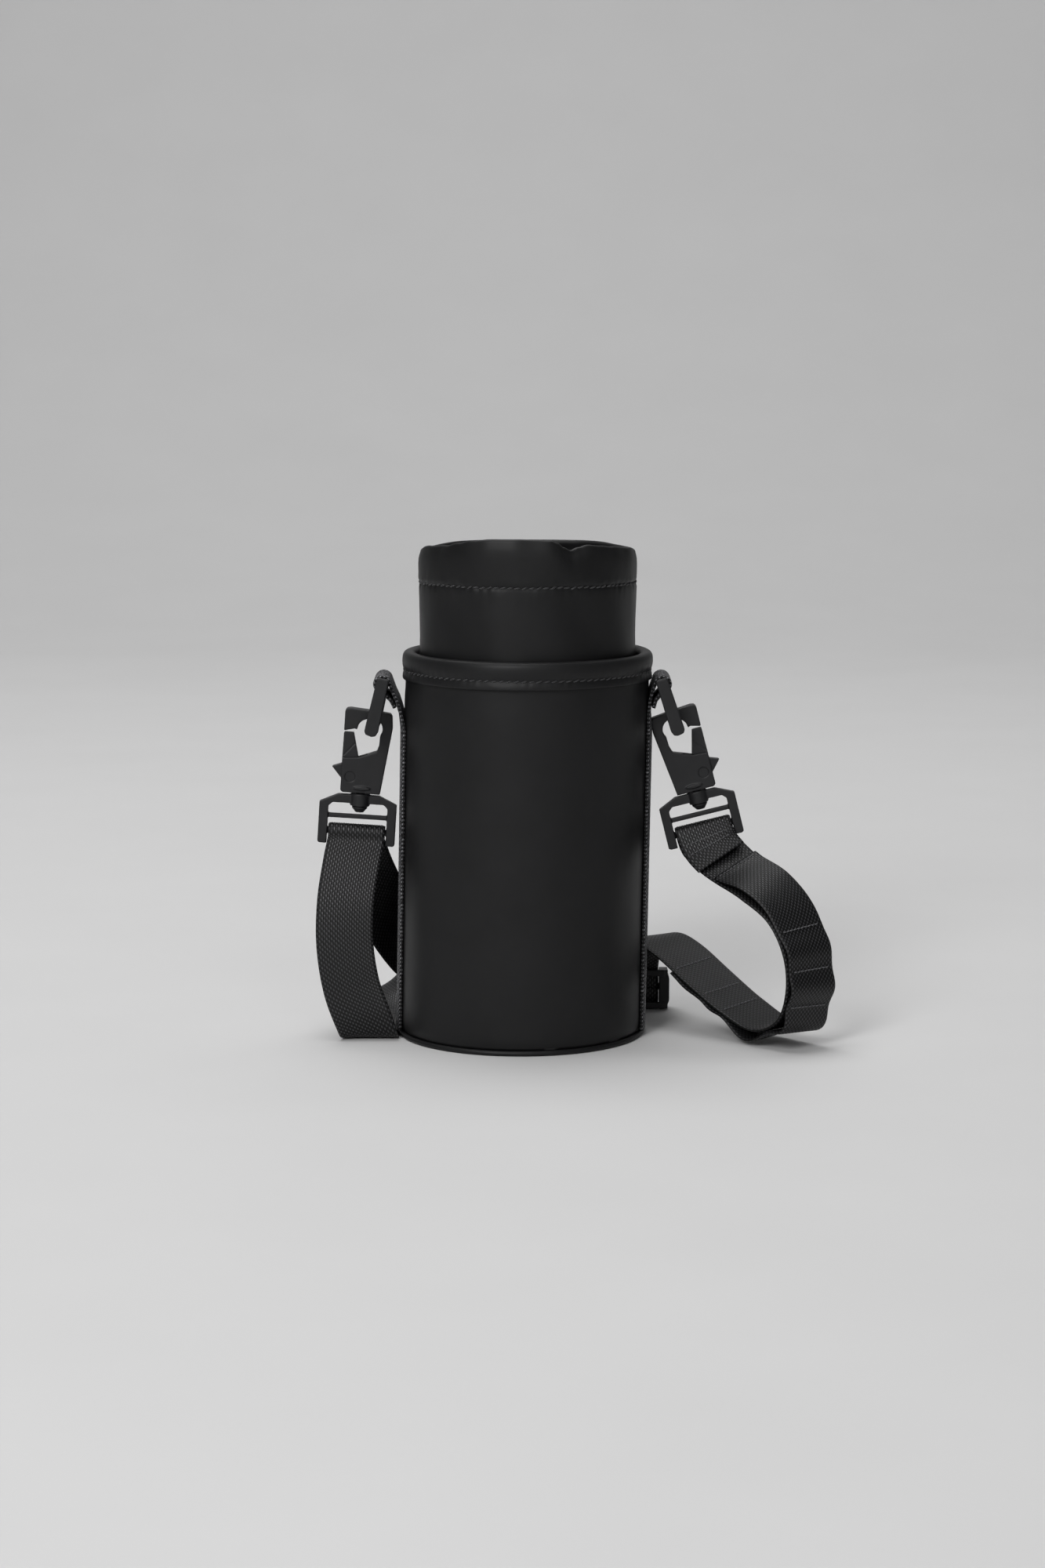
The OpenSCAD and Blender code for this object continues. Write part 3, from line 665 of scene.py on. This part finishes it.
def make_rim():
    """The band that is sewn to the wall's outside and rolls over its top edge."""
    outer = [(WALL_R + 0.15, FACING_Z + 0.3), (WALL_R + 0.95, FACING_Z), (WALL_R + 1.08, FACING_Z + 0.7),
             (WALL_R + 0.9, FACING_Z + 2), (WALL_R + 0.62, FACING_Z + 3),
             (RIM_STITCH_R, RIM_STITCH_Z - 0.3), (RIM_STITCH_R, RIM_STITCH_Z + 0.3),
             (WALL_R + 0.72, RIM_STITCH_Z + 1), (WALL_R + 1.05, RIM_STITCH_Z + 2),
             (WALL_R + 1.2, RIM_STITCH_Z + 3.4)]
    middle_r, middle_z, across, tall = WALL_R - 1.9, RIM_Z - 4.2, 3.1, 4.1
    turns = [math.radians(a) for a in range(0, 181, 10)]
    roll = [(middle_r + across * math.copysign(abs(math.cos(a)) ** 0.7, math.cos(a)),
             middle_z + tall * max(math.sin(a), 0) ** 0.75) for a in turns]
    inside = [(middle_r - across + 0.1, LINING_TOP + 0.25), (middle_r, PANEL_TOP + 0.2),
              (WALL_R + 0.15, PANEL_TOP + 0.1)]
    points, faces = lathe(outer + roll + inside, 420, rim_shape)
    add_mesh("rim_roll", points, faces, SHELL, "bag", ["rim_facing"])
    parts = []
    for k in range(RIM_STITCHES):
        angle = 2 * math.pi * (k + 0.5) / RIM_STITCHES
        r = RIM_STITCH_R + rim_shape(angle, RIM_STITCH_R, RIM_STITCH_Z)[0]
        slope = 0.3 + 0.1 * math.sin(k * 2.4)
        around = (math.cos(angle), math.sin(angle), slope)
        centre = outward(angle) * r + (lean(RIM_STITCH_Z), 0, RIM_STITCH_Z)
        parts.append(stitch(centre, around, outward(angle), 2.5, 0.36))
    points, faces = joined(parts)
    add_mesh("rim_stitching", points, faces, THREAD, "bag")


# Height of the collar's top edge round the bag: angle from the front, towards the right side, and height
LIP = [(-140, 215), (-110, 214.2), (-90, 214.3), (-66, 216.9), (-50, 217.8), (-40, 219.3), (-31, 220.7),
       (-19, 221.5), (-5, 221.6), (5, 221.3), (12, 221), (16, 219.9), (20, 217.9), (24, 216.6), (29, 217.8),
       (34, 218.7), (42, 218.1), (51, 217.3), (70, 216), (90, 214), (110, 214), (140, 215), (180, 214.7)]


def lip_height(angle):
    """The lip's height at an angle from the front, eased from point to point of LIP."""
    turn = (math.degrees(angle) + 180) % 360 - 180
    angles = [a - 360 for a, _ in LIP[-1:]] + [a for a, _ in LIP]
    heights = [z for _, z in LIP[-1:]] + [z for _, z in LIP]
    k = max(i for i in range(len(angles)) if angles[i] <= turn + 1e-9)
    if k == len(angles) - 1:
        return heights[-1]
    t = (turn - angles[k]) / (angles[k + 1] - angles[k])
    t = t * t * (3 - 2 * t)
    return heights[k] * (1 - t) + heights[k + 1] * t


def hem_seam(angle):
    """The hem seam's height: higher at the front than at the back, and a little uneven."""
    low_z, high_z = HEM_SEAM
    return low_z + (high_z - low_z) * (0.5 + 0.5 * math.cos(angle)) + 0.35 * noise_round(angle, 9)


def collar_point(angle, share, inner):
    """A point on the collar: share runs 0 at the foot, 1 at the hem seam and 2 at the lip."""
    seam, top = hem_seam(angle), lip_height(angle)
    if share <= 1:
        z = COLLAR_FOOT + (seam - COLLAR_FOOT) * share
    else:
        z = seam + (top - LIP_ROUND - seam) * (share - 1)
    up_hem = max(share - 1, 0)
    r = COLLAR_R - (0.55 if share < 1 else 0.5)
    pinch = 0.6 * bell(z - seam, 0.8)
    gather = 0.42 * noise_round(angle, 17, 0.3 * z + 2.0) * bell(z - seam, 3.2)
    puff = 0.2 * math.sin(math.pi * min(up_hem, 1)) - 0.25 * math.sin(math.pi * min(share, 1))
    twist = (math.sin(angle) * 2.6 + 0.035 * z, math.cos(angle) * 2.6 - 0.02 * z)
    folds = 1.14 * noise_at(*twist, z / 34 + 5.0)
    lip_fold = 0.7 * noise_round(angle, 5.0, 8.7) * up_hem ** 2
    notch = -1.9 * bell(math.degrees(angle) - 24, 8) * up_hem ** 2
    rounding = -0.7 * max(0, (share - 1.7) / 0.3) ** 2
    away_from_back = 1 - bell(1 + math.cos(angle), 0.08)
    r += puff + (folds + lip_fold) * away_from_back + notch + gather - pinch + rounding
    if z < RIM_Z + 2:
        r = min(r, COLLAR_R - 0.4)
    if inner:
        channel = min(up_hem / 0.12, 1)
        r -= 0.9 + 1.7 * channel
    return (r * math.sin(angle) + lean(z), -r * math.cos(angle), z)


def make_collar():
    """Two layers of thin cloth with a round lip, and the thread along the hem seam."""
    turns = 420
    shares = [0, 0.12, 0.3, 0.5, 0.68, 0.8, 0.88, 0.94, 0.975, 1.0,
              1.025, 1.06, 1.12, 1.2, 1.32, 1.48, 1.65, 1.8, 1.92, 2.0]
    points = []
    for i in range(turns):
        angle = 2 * math.pi * i / turns
        outer = [collar_point(angle, s, False) for s in shares]
        inner = [collar_point(angle, s, True) for s in reversed(shares)]
        a, b = np.array(outer[-1]), np.array(inner[0])
        middle, crown = (a + b) / 2, np.array((0, 0, LIP_ROUND))
        arch = []
        for k in range(1, LIP_STEPS):
            turn = math.pi * k / LIP_STEPS
            arch.append(tuple(middle + (a - middle) * math.cos(turn) + crown * math.sin(turn)))
        points += outer + arch + inner
    columns = 2 * len(shares) + LIP_STEPS - 1
    faces = grid_faces(turns, columns, close_rows=True)
    collar = add_mesh("collar_cloth", points, faces, COLLAR, "bag", ["drawstring_collar"])
    parts = []
    for k in range(HEM_STITCHES):
        angle = 2 * math.pi * (k + 0.5) / HEM_STITCHES
        centre = np.array(collar_point(angle, 1.0, False))
        ahead = np.array(collar_point(angle + 0.02, 1.0, False))
        around = (ahead - centre) / np.linalg.norm(ahead - centre)
        out = outward(angle)
        slope = 0.3 + 0.15 * math.sin(k * 2.4)
        parts.append(stitch(centre + out * 0.1, around + (0, 0, slope), out, 2.5, 0.42))
    points, faces = joined(parts)
    add_mesh("hem_stitching", points, faces, THREAD, "bag")


# ---------- drawcord and its lock ----------

# Each end of the cord from its eyelet to the knot below the lock, as the CAD has it
CORD_RIGHT = [(5, 49.5, 211.8), (4.6, 52, 210.3), (3.8, 53.8, 207.5), (2.6, 54.7, 204), (1.6, 54.9, 201.4),
              (1.3, 54.9, 199.4), (1.3, 54.9, 190), (1.3, 54.9, 182), (1.2, 54.95, 179.8)]
CORD_LEFT = [(-5, 49.5, 211.8), (-4.4, 51.4, 210.3), (-3, 52.5, 207.5), (-0.9, 53, 204), (0.7, 53.1, 201.4),
             (1.3, 53.1, 199.4), (1.3, 53.1, 190), (1.3, 53.1, 182), (1.2, 53.05, 179.8)]


def channel_point(turn):
    """The middle of the hem's channel at a turn from the back, eased to the eyelets near the back."""
    ease_turn = 0.12
    angle = math.pi - turn
    seam = hem_seam(angle)
    share = 1 + (CORD_Z - seam) / (lip_height(angle) - LIP_ROUND - seam)
    cloth = (np.array(collar_point(angle, share, False)) + np.array(collar_point(angle, share, True))) / 2
    straight = np.array((CORD_RING_R * math.sin(turn), CORD_RING_R * math.cos(turn), CORD_Z))
    ease = min(1.0, (min(turn, 2 * math.pi - turn) - EYELET_X / CORD_RING_R) / ease_turn)
    return straight + (cloth - straight) * ease


def make_drawcord():
    first = math.asin(EYELET_X / CORD_RING_R)
    ring = [channel_point(a) for a in np.linspace(first, 2 * math.pi - first, 150)]
    right, _ = spline(CORD_RIGHT[::-1], CORD_R)
    left, _ = spline(CORD_LEFT, CORD_R)
    cord = tube(list(right) + ring + list(left), CORD_R)
    knot_r, knot_rise = 0.62, 0.85
    knot = []
    for a in np.linspace(0, 2 * math.pi, 90, endpoint=False):
        knot.append((KNOT_AT[0] + knot_r * (math.sin(a) + 2 * math.sin(2 * a)),
                     KNOT_AT[1] + knot_r * (math.cos(a) - 2 * math.cos(2 * a)),
                     KNOT_AT[2] - knot_rise * math.sin(3 * a)))
    knot.append(knot[0])
    points, faces = joined([cord, tube(knot, CORD_R - 0.02)])
    add_mesh("drawcord_braid", points, faces, BRAID, "bag", ["drawcord"])


# ---------- straps ----------

def row(point, across):
    return [*point, *across]


def bar_facts(side):
    """The strap bar's centre in millimetres, the direction along it and the direction up the hook."""
    tilt = JOINTS[f"frame_{SIDES[side]}_tilt"]
    swivel = JOINTS[f"hook_{SIDES[side]}_swivel"]
    across, up = unit(np.array([tilt["axis"], swivel["axis"]]))
    return np.array(tilt["pos_m"]) / MM, across, up


def bar_wrap(side):
    """Rows over the strap bar, from its front to its back."""
    bar, across, up = bar_facts(side)
    backward = np.array((0, 1, 0))
    rows = []
    for a in range(0, 181, 45):
        turn = math.radians(a)
        rows.append(row(bar + WRAP_R * (math.sin(turn) * up - math.cos(turn) * backward), across))
    return rows


def below_bar(side, drop):
    """A row behind the strap bar, this far down from it."""
    last = bar_wrap(side)[-1]
    return row(np.array(last[:3]) - drop * bar_facts(side)[2], last[3:])


# The strap's centre line and the direction across it: x, y, z and a direction for each row. The strap lies as
# it falls, so its rows are listed one by one and are the CAD's own.
TAIL_KEYS = [
    [87, -10, 79.6, 0.95, 0.12, 0.25],
    [82.6, -5.9, 84.4, 0.96, 0.06, 0.25]]
RIGHT_KEYS = [
    [82.2, 1, 84, 0.97, 0.02, 0.24],
    [87, -5.6, 79.4, 0.95, 0.12, 0.24],
    [94.5, -13, 74, 0.93, 0.25, 0.2],
    [105, -23, 67, 0.88, 0.4, 0.12],
    [116, -33, 57, 0.84, 0.52, 0.05],
    [122, -39, 42, 0.8, 0.6, 0],
    [123, -40, 26, 0.8, 0.6, 0],
    [119, -36, 13, 0.8, 0.6, 0],
    [109, -26, 8, 0.8, 0.58, 0.05],
    [96, -12, 14, 0.8, 0.58, 0.1],
    [83, 3, 23, 0.82, 0.56, 0.12],
    [71, 17, 32, 0.82, 0.55, 0.12],
    [62, 29, 36, 0.86, 0.5, 0.08],
    [55.5, 39.5, 34.5, 0.93, 0.36, 0],
    [51, 46.5, 27.5, 0.98, 0.15, 0],
    [49.5, 49, 21, 1, 0, 0],
    [49.5, 49, 14, 1, 0, 0],
    [49.5, 49, 10, 1, 0, 0]]
BACK_KEYS = [
    [49.5, 49, 9.9, 1, 0, 0],
    [49.5, 49, 5.5, 1, 0, 0],
    [49.5, 51, 2.1, 1, 0, 0],
    [49.5, 56, 1.1, 1, 0, 0],
    [49.5, 62, 1.25, 1, 0, 0],
    [49, 74, 3.5, 0.97, 0.05, 0.2],
    [45, 87, 7.8, 0.8, 0.2, 0.55],
    [36, 96, 12.1, 0.4, 0.15, 0.9],
    [21, 100, 12.6, 0, 0, 1],
    [0, 100, 12.6, 0, 0, 1],
    [-22, 96, 12.9, 0, 0, 1],
    [-42, 87, 13.4, 0.2, 0.1, 0.95],
    [-57, 74, 10.4, 0.65, 0.1, 0.7],
    [-65, 59, 5, 0.93, 0, 0.33],
    [-67, 45, 1.4, 1, 0, 0],
    [-67, 37, 1.1, 1, 0, 0],
    [-67, 30.1, 0.8, 1, 0, 0]]
LEFT_KEYS = [
    [-67, 30, 0.8, 1, 0, 0],
    [-67, 12, 0.85, 1, 0, 0],
    [-67, -6, 0.95, 1, 0, 0],
    [-67, -17.5, 1.8, 1, 0, 0],
    [-69.4, -21.5, 9, 0.98, 0, 0.12],
    [-74.8, -20, 24, 0.98, 0.05, 0.2],
    [-77.7, -17, 42, 0.99, 0.05, 0.1],
    [-77.5, -13, 60, 1, 0, 0.02],
    [-75.2, -7.5, 76, 1, 0, -0.03],
    [-73.3, -3.2, 85.5, 0.998, 0, -0.06]]
RETURN_KEYS = [
    [-72.7, 5, 82.5, 0.998, 0.03, -0.05],
    [-69.8, 10, 72, 0.97, 0.2, 0.02],
    [-63.5, 19, 56, 0.9, 0.42, 0.1],
    [-56, 31, 38, 0.78, 0.6, 0.2],
    [-46, 46, 23, 0.5, 0.5, 0.7],
    [-31, 62, 15, 0.2, 0.25, 0.95],
    [-12, 74, 12.9, 0, 0, 1],
    [6, 80, 12.9, 0, 0, 1],
    [22, 84, 12.9, 0, 0, 1],
    [34, 81.5, 12.35, 0.35, 0.1, 0.92],
    [42.5, 75, 9.8, 0.77, 0.1, 0.56],
    [47.5, 67, 6.2, 0.97, 0.03, 0.15],
    [49.4, 59, 3.4, 1, 0, 0],
    [49.5, 55.8, 4.8, 1, 0, 0],
    [49.5, 55.2, 7.2, 1, 0, 0]]
# The overlay is sewn to the right run at these spans, and stands off by the slack between them
OVERLAY_STITCH = [1.8, 4.4, 5.4, 6.4, 7.6, 9, 9.6, 10.6]
OVERLAY_SLACK = [3.2, 1.3, 1.8, 3.2, 3.6, 0.8, 0.8]
OVERLAY_LIFT = WEB_T + 0.3
# The tail under the right frame's bar is held by two rows of stitches at these spans
TAIL_STITCH = [-7.0, -6.55]


def overlay_off(place):
    """How far the overlay's middle stands off the strap's middle at a place in spans."""
    for low_end, high_end, slack in zip(OVERLAY_STITCH, OVERLAY_STITCH[1:], OVERLAY_SLACK):
        if low_end <= place <= high_end:
            return OVERLAY_LIFT + slack * math.sin(math.pi * (place - low_end) / (high_end - low_end)) ** 2
    return OVERLAY_LIFT


def stitch_row(rows, i, height):
    """Stitches across the webbing at row i, on the face at this height."""
    margin, pitch = 2.2, 2.0
    centre, along, wide, normal = (values[i] for values in frames_of(rows))
    face = 1 if height > 0 else -1
    parts = []
    for k in range(int((WEB_W - 2 * margin) / pitch)):
        side = -WEB_W / 2 + margin + pitch * (k + 0.5)
        at = centre + wide * side + normal * (height + 0.02 * face)
        tilt = wide + along * 0.12 * (-1) ** k
        parts.append(stitch(at, tilt, normal * face, 1.55, 0.32))
    return parts


def nearest(places, place):
    return int(np.argmin(np.abs(places - place)))


def make_right_strap():
    """The run from the right frame round to the back, its sewn overlay and the light thread in both."""
    ahead = TAIL_KEYS + bar_wrap(1) + [below_bar(1, 3.5)]
    right, places = spline(ahead + RIGHT_KEYS)
    places = places - len(ahead)
    webbing("strap_right_run", right, STRAP, "bag", ["strap_right"])
    picked = (places >= OVERLAY_STITCH[0]) & (places <= OVERLAY_STITCH[-1])
    lift = np.array([overlay_off(p) for p in places[picked]])
    webbing("strap_doubler", right[picked], STRAP, "bag", ["strap_overlay"], lift, 7.0)
    first, last = np.flatnonzero(picked)[[0, -1]]
    parts = []
    for place in OVERLAY_STITCH:
        i = min(max(nearest(places, place), first + 1), last - 1)
        parts += stitch_row(right, i, OVERLAY_LIFT + WEB_T / 2)
        parts += stitch_row(right, i, -WEB_T / 2)
    for place in TAIL_STITCH:
        parts += stitch_row(right, nearest(places, place), -WEB_T / 2)
    points, faces = joined(parts)
    add_mesh("strap_stitching", points, faces, LIGHT_THREAD, "bag")


def make_left_strap():
    """The run behind the bag to the left frame, and the part that returns from there to the slider."""
    back, _ = spline(BACK_KEYS)
    _, run = webbing("strap_behind", back, STRAP, "bag", ["strap_back"])
    left, _ = spline(LEFT_KEYS + bar_wrap(-1) + [below_bar(-1, 1.5)])
    _, run = webbing("strap_left_run", left, STRAP, "bag", ["strap_left"], run_start=run)
    home, _ = spline([below_bar(-1, 1.6), below_bar(-1, 4)] + RETURN_KEYS)
    replaced = ["strap_return"]
    piece, _ = webbing("strap_return_run", home, STRAP, None, replaced, run_start=run)
    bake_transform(piece)


def make_end_loop():
    """The strap's sewn end over the slider's middle bar."""
    wrap = 2.2
    lowest, highest = low("strap_end_loop"), high("strap_end_loop")
    across = (1, 0, 0)
    middle = (lowest + highest) / 2
    bar_z = highest.z - WEB_T / 2 - wrap
    rows = [[middle.x, middle.y + wrap, lowest.z, *across]]
    for a in np.linspace(0, math.pi, 17):
        rows.append([middle.x, middle.y + wrap * math.cos(a), bar_z + wrap * math.sin(a), *across])
    rows.append([middle.x, middle.y - wrap, lowest.z, *across])
    webbing("strap_loop", np.array(rows), STRAP, "slider", ["strap_end_loop"])


def side_rows():
    """The side webbing's route in its own plane: up the wall, round the ring's bar and back down."""
    under = TAPE_FACE + WEB_T / 2
    over = under + WEB_T + 0.02
    bar = np.array(JOINTS["ring_right_swing"]["pos_m"]) / MM
    loop_r = 3.2
    route = [(under, PANEL_LOW + 0.1), (under, 40), (under, 90), (under, 130)]
    route += [(under + 0.05, 143), (under + 0.6, 148.5)]
    for a in range(170, -71, -15):
        turn = math.radians(a)
        route.append((bar[0] + loop_r * math.cos(turn), bar[2] + loop_r * math.sin(turn)))
    return route + [(59.5, 150.9), (57.7, 149), (over + 0.9, 147.2), (over + 0.35, 145.6)]


def make_side_webbing(side):
    """One side's tape, bent round the wall and leaning with it up to its loop, with a thread at each edge."""
    name = SIDES[side]
    route = np.array(side_rows())
    keys = []
    for a, b in zip(route, route[1:]):
        count = max(1, round(np.linalg.norm(b - a) / WEB_STEP))
        keys += [a + (b - a) * k / count for k in range(count)]
    keys.append(route[-1])
    rows = np.array([[side * x, 0, z, 0, -side, 0] for x, z in keys])
    heights = rows[:, 2]
    up_wall = np.arange(len(rows)) < np.argmax(heights)
    hug = np.clip((148 - heights) / 12, 0, 1) * up_wall
    rows[:, 0] += np.array([lean(z) for z in heights]) * np.clip((152 - heights) / 16, 0, 1)
    replaced = [f"side_webbing_{name}"]
    webbing(f"side_tape_{name}", rows, HEATHER, "bag", replaced, ribs=28, depth=0.12, hug=hug)
    parts = []
    thread_y, thread_top, pitch = 9.8, 138, 3.0
    fall = WALL_R - math.sqrt(WALL_R ** 2 - thread_y ** 2)
    for y in (-thread_y, thread_y):
        for z in np.arange(PANEL_LOW + 4, thread_top, pitch):
            at = (side * (TAPE_FACE + WEB_T - 0.05 - fall) + lean(z), y, z)
            parts.append(stitch(at, (0, 0.04, 1), (side, y / WALL_R, 0), 2.2, 0.28))
    points, faces = joined(parts)
    add_mesh(f"side_tape_stitching_{name}", points, faces, LIGHT_THREAD, "bag")


# ---------- moulded hardware ----------

def hook_place(side):
    """From a hook part's own millimetres, gate side to the left, to the row frame in metres."""
    swivel = JOINTS[f"hook_{SIDES[side]}_swivel"]
    up = Vector(swivel["axis"]).normalized()
    place = Matrix.Translation(swivel["pos_m"]) @ Matrix.Rotation(math.atan2(up.x, up.z), 4, "Y")
    return place @ Matrix.Diagonal((-side, 1, 1, 1)) @ Matrix.Scale(MM, 4)


def moulded(node, body, voxel=0.28, rounds=7, extra=None, carve=None):
    """A copy of a CAD solid with the soft edges of moulded plastic. It can be given extra raised shapes, and
    carve can press grooves into it."""
    mesh = frame["nodes"][node].data.copy()
    if extra:
        shapes = bmesh.new()
        shapes.from_mesh(mesh)
        for points, faces in extra:
            made = [shapes.verts.new(p) for p in points]
            for f in faces:
                shapes.faces.new([made[k] for k in f])
        shapes.to_mesh(mesh)
        shapes.free()
    draft = bpy.data.objects.new("draft", mesh)
    bpy.context.scene.collection.objects.link(draft)
    remesh = draft.modifiers.new("remesh", "REMESH")
    remesh.mode = "VOXEL"
    remesh.voxel_size = voxel * MM
    smooth = draft.modifiers.new("smooth", "SMOOTH")
    smooth.factor = 0.5
    smooth.iterations = rounds
    bpy.context.view_layer.update()
    made = bpy.data.meshes.new_from_object(draft.evaluated_get(bpy.context.evaluated_depsgraph_get()))
    bpy.data.objects.remove(draft)
    if carve:
        carve(made)
    return add_piece(f"{node}_moulded", made, PLASTIC, body, [node])


def carve_lines(place, lines):
    """A function that presses grooves into the front and back faces, along lines in the hook's own plane."""
    depth, width, skin = 0.22, 0.3, 0.8
    to_own = np.array(place.inverted())

    def carve(mesh):
        count = len(mesh.vertices)
        points = np.zeros(count * 3)
        mesh.vertices.foreach_get("co", points)
        points = points.reshape(-1, 3)
        own = points @ to_own[:3, :3].T + to_own[:3, 3]
        flat = own[:, [0, 2]]
        press = np.zeros(count)
        for a, b in lines:
            a, b = np.array(a, float), np.array(b, float)
            t = np.clip(((flat - a) @ (b - a)) / np.dot(b - a, b - a), 0, 1)
            gap = np.linalg.norm(flat - (a + t[:, None] * (b - a)), axis=1)
            press = np.maximum(press, depth * np.exp(-(gap / width) ** 2))
        face = np.abs(own[:, 1]) > np.abs(own[:, 1]).max() - skin
        points[:, 1] -= np.sign(own[:, 1]) * press * face * MM
        mesh.vertices.foreach_set("co", points.ravel())
        mesh.update()

    return carve


def crescent(place, thick):
    """A raised lug like a flat lens at the foot of the hook's front and back faces."""
    turns = np.linspace(0, 2 * math.pi, 28, endpoint=False)

    def outline(half_wide, half_tall, y):
        return [place @ Vector((LUG_AT[0] + half_wide * math.cos(a), y, LUG_AT[1] + half_tall * math.sin(a)))
                for a in turns]

    shapes = []
    for sign in (-1, 1):
        foot = outline(4.6, 1.25, sign * (thick / 2 - 0.6))
        crown = outline(4.6 * 0.72, 1.25 * 0.55, sign * (thick / 2 + 0.75))
        shapes.append(prism(foot, crown, sign * place.to_3x3().determinant() > 0))
    return shapes


def paint(node, material):
    """Gives a CAD piece that is shown as it is its material."""
    mesh = frame["nodes"][node].data
    mesh.materials.clear()
    mesh.materials.append(material)


def make_hooks():
    gate_groove = [((-8.2, 16.4), (-3.3, 22.0))]
    thick = high("hook_body_left").y - low("hook_body_left").y
    for side, name in SIDES.items():
        place = hook_place(side)
        moulded(f"hook_body_{name}", f"hook_{name}", extra=crescent(place, thick))
        moulded(f"gate_{name}", f"gate_{name}", voxel=0.22, carve=carve_lines(place, gate_groove))
        moulded(f"strap_frame_{name}", f"frame_{name}")
        moulded(f"swivel_stud_{name}", f"hook_{name}", voxel=0.2, rounds=4)
        moulded(f"ring_{name}", f"ring_{name}", rounds=9)
        paint(f"gate_pin_{name}", PLASTIC)
        paint(f"gate_spring_{name}", STEEL)


def side_cheeks(node):
    """Fuller side bars for the slider, with round outer corners. The points are in metres."""
    width, overhang, corner, inset = 3.95, 0.7, 4.5, 0.3
    lowest, highest = low(node), high(node)
    shapes = []
    for sign, outer in ((-1, lowest.x), (1, highest.x)):
        inner = outer - sign * width
        outline = [(inner, lowest.z), (inner, highest.z)]
        for centre, first in ((highest.z - corner, 90), (lowest.z + corner, 0)):
            for a in range(first, first - 91, -15):
                turn = math.radians(a)
                x = outer + sign * (overhang - corner * (1 - math.cos(turn)))
                outline.append((x, centre + corner * math.sin(turn)))
        near = [Vector((x, lowest.y + inset, z)) * MM for x, z in outline]
        far = [Vector((x, highest.y - inset, z)) * MM for x, z in outline]
        shapes.append(prism(near, far, sign > 0))
    return shapes


def make_lock_spring():
    """The coil behind the plunger."""
    lowest, highest = low("cord_lock_spring"), high("cord_lock_spring")
    middle = (lowest + highest) / 2
    wire_r, coils, steps = 0.3, 4, 28
    coil_r = (highest.y - lowest.y) / 2 - wire_r
    reach = highest.x - lowest.x
    path = []
    for k in range(coils * steps + 1):
        a = 2 * math.pi * k / steps
        x = lowest.x + wire_r + (reach - 2 * wire_r) * k / (coils * steps)
        path.append((x, middle.y + coil_r * math.cos(a), middle.z + coil_r * math.sin(a)))
    points, faces = tube(path, wire_r, 10)
    spring = add_mesh("lock_spring", points, faces, STEEL, "cord_lock", ["cord_lock_spring"])
    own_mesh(spring)


def make_lock_and_slider():
    moulded("strap_slider", "slider", voxel=0.25, extra=side_cheeks("strap_slider"))
    moulded("cord_lock_body", "cord_lock", voxel=0.22, rounds=5)
    moulded("cord_lock_plunger", "plunger", voxel=0.2, rounds=5)
    make_lock_spring()
    paint("cord_eyelets", STEEL)


make_camera()
make_drawcord()
make_stage()
make_light()
make_walls()
make_base()
make_padding()
make_rim()
make_collar()
for side in SIDES:
    make_side_webbing(side)
make_right_strap()
make_left_strap()
make_end_loop()
make_hooks()
make_lock_and_slider()
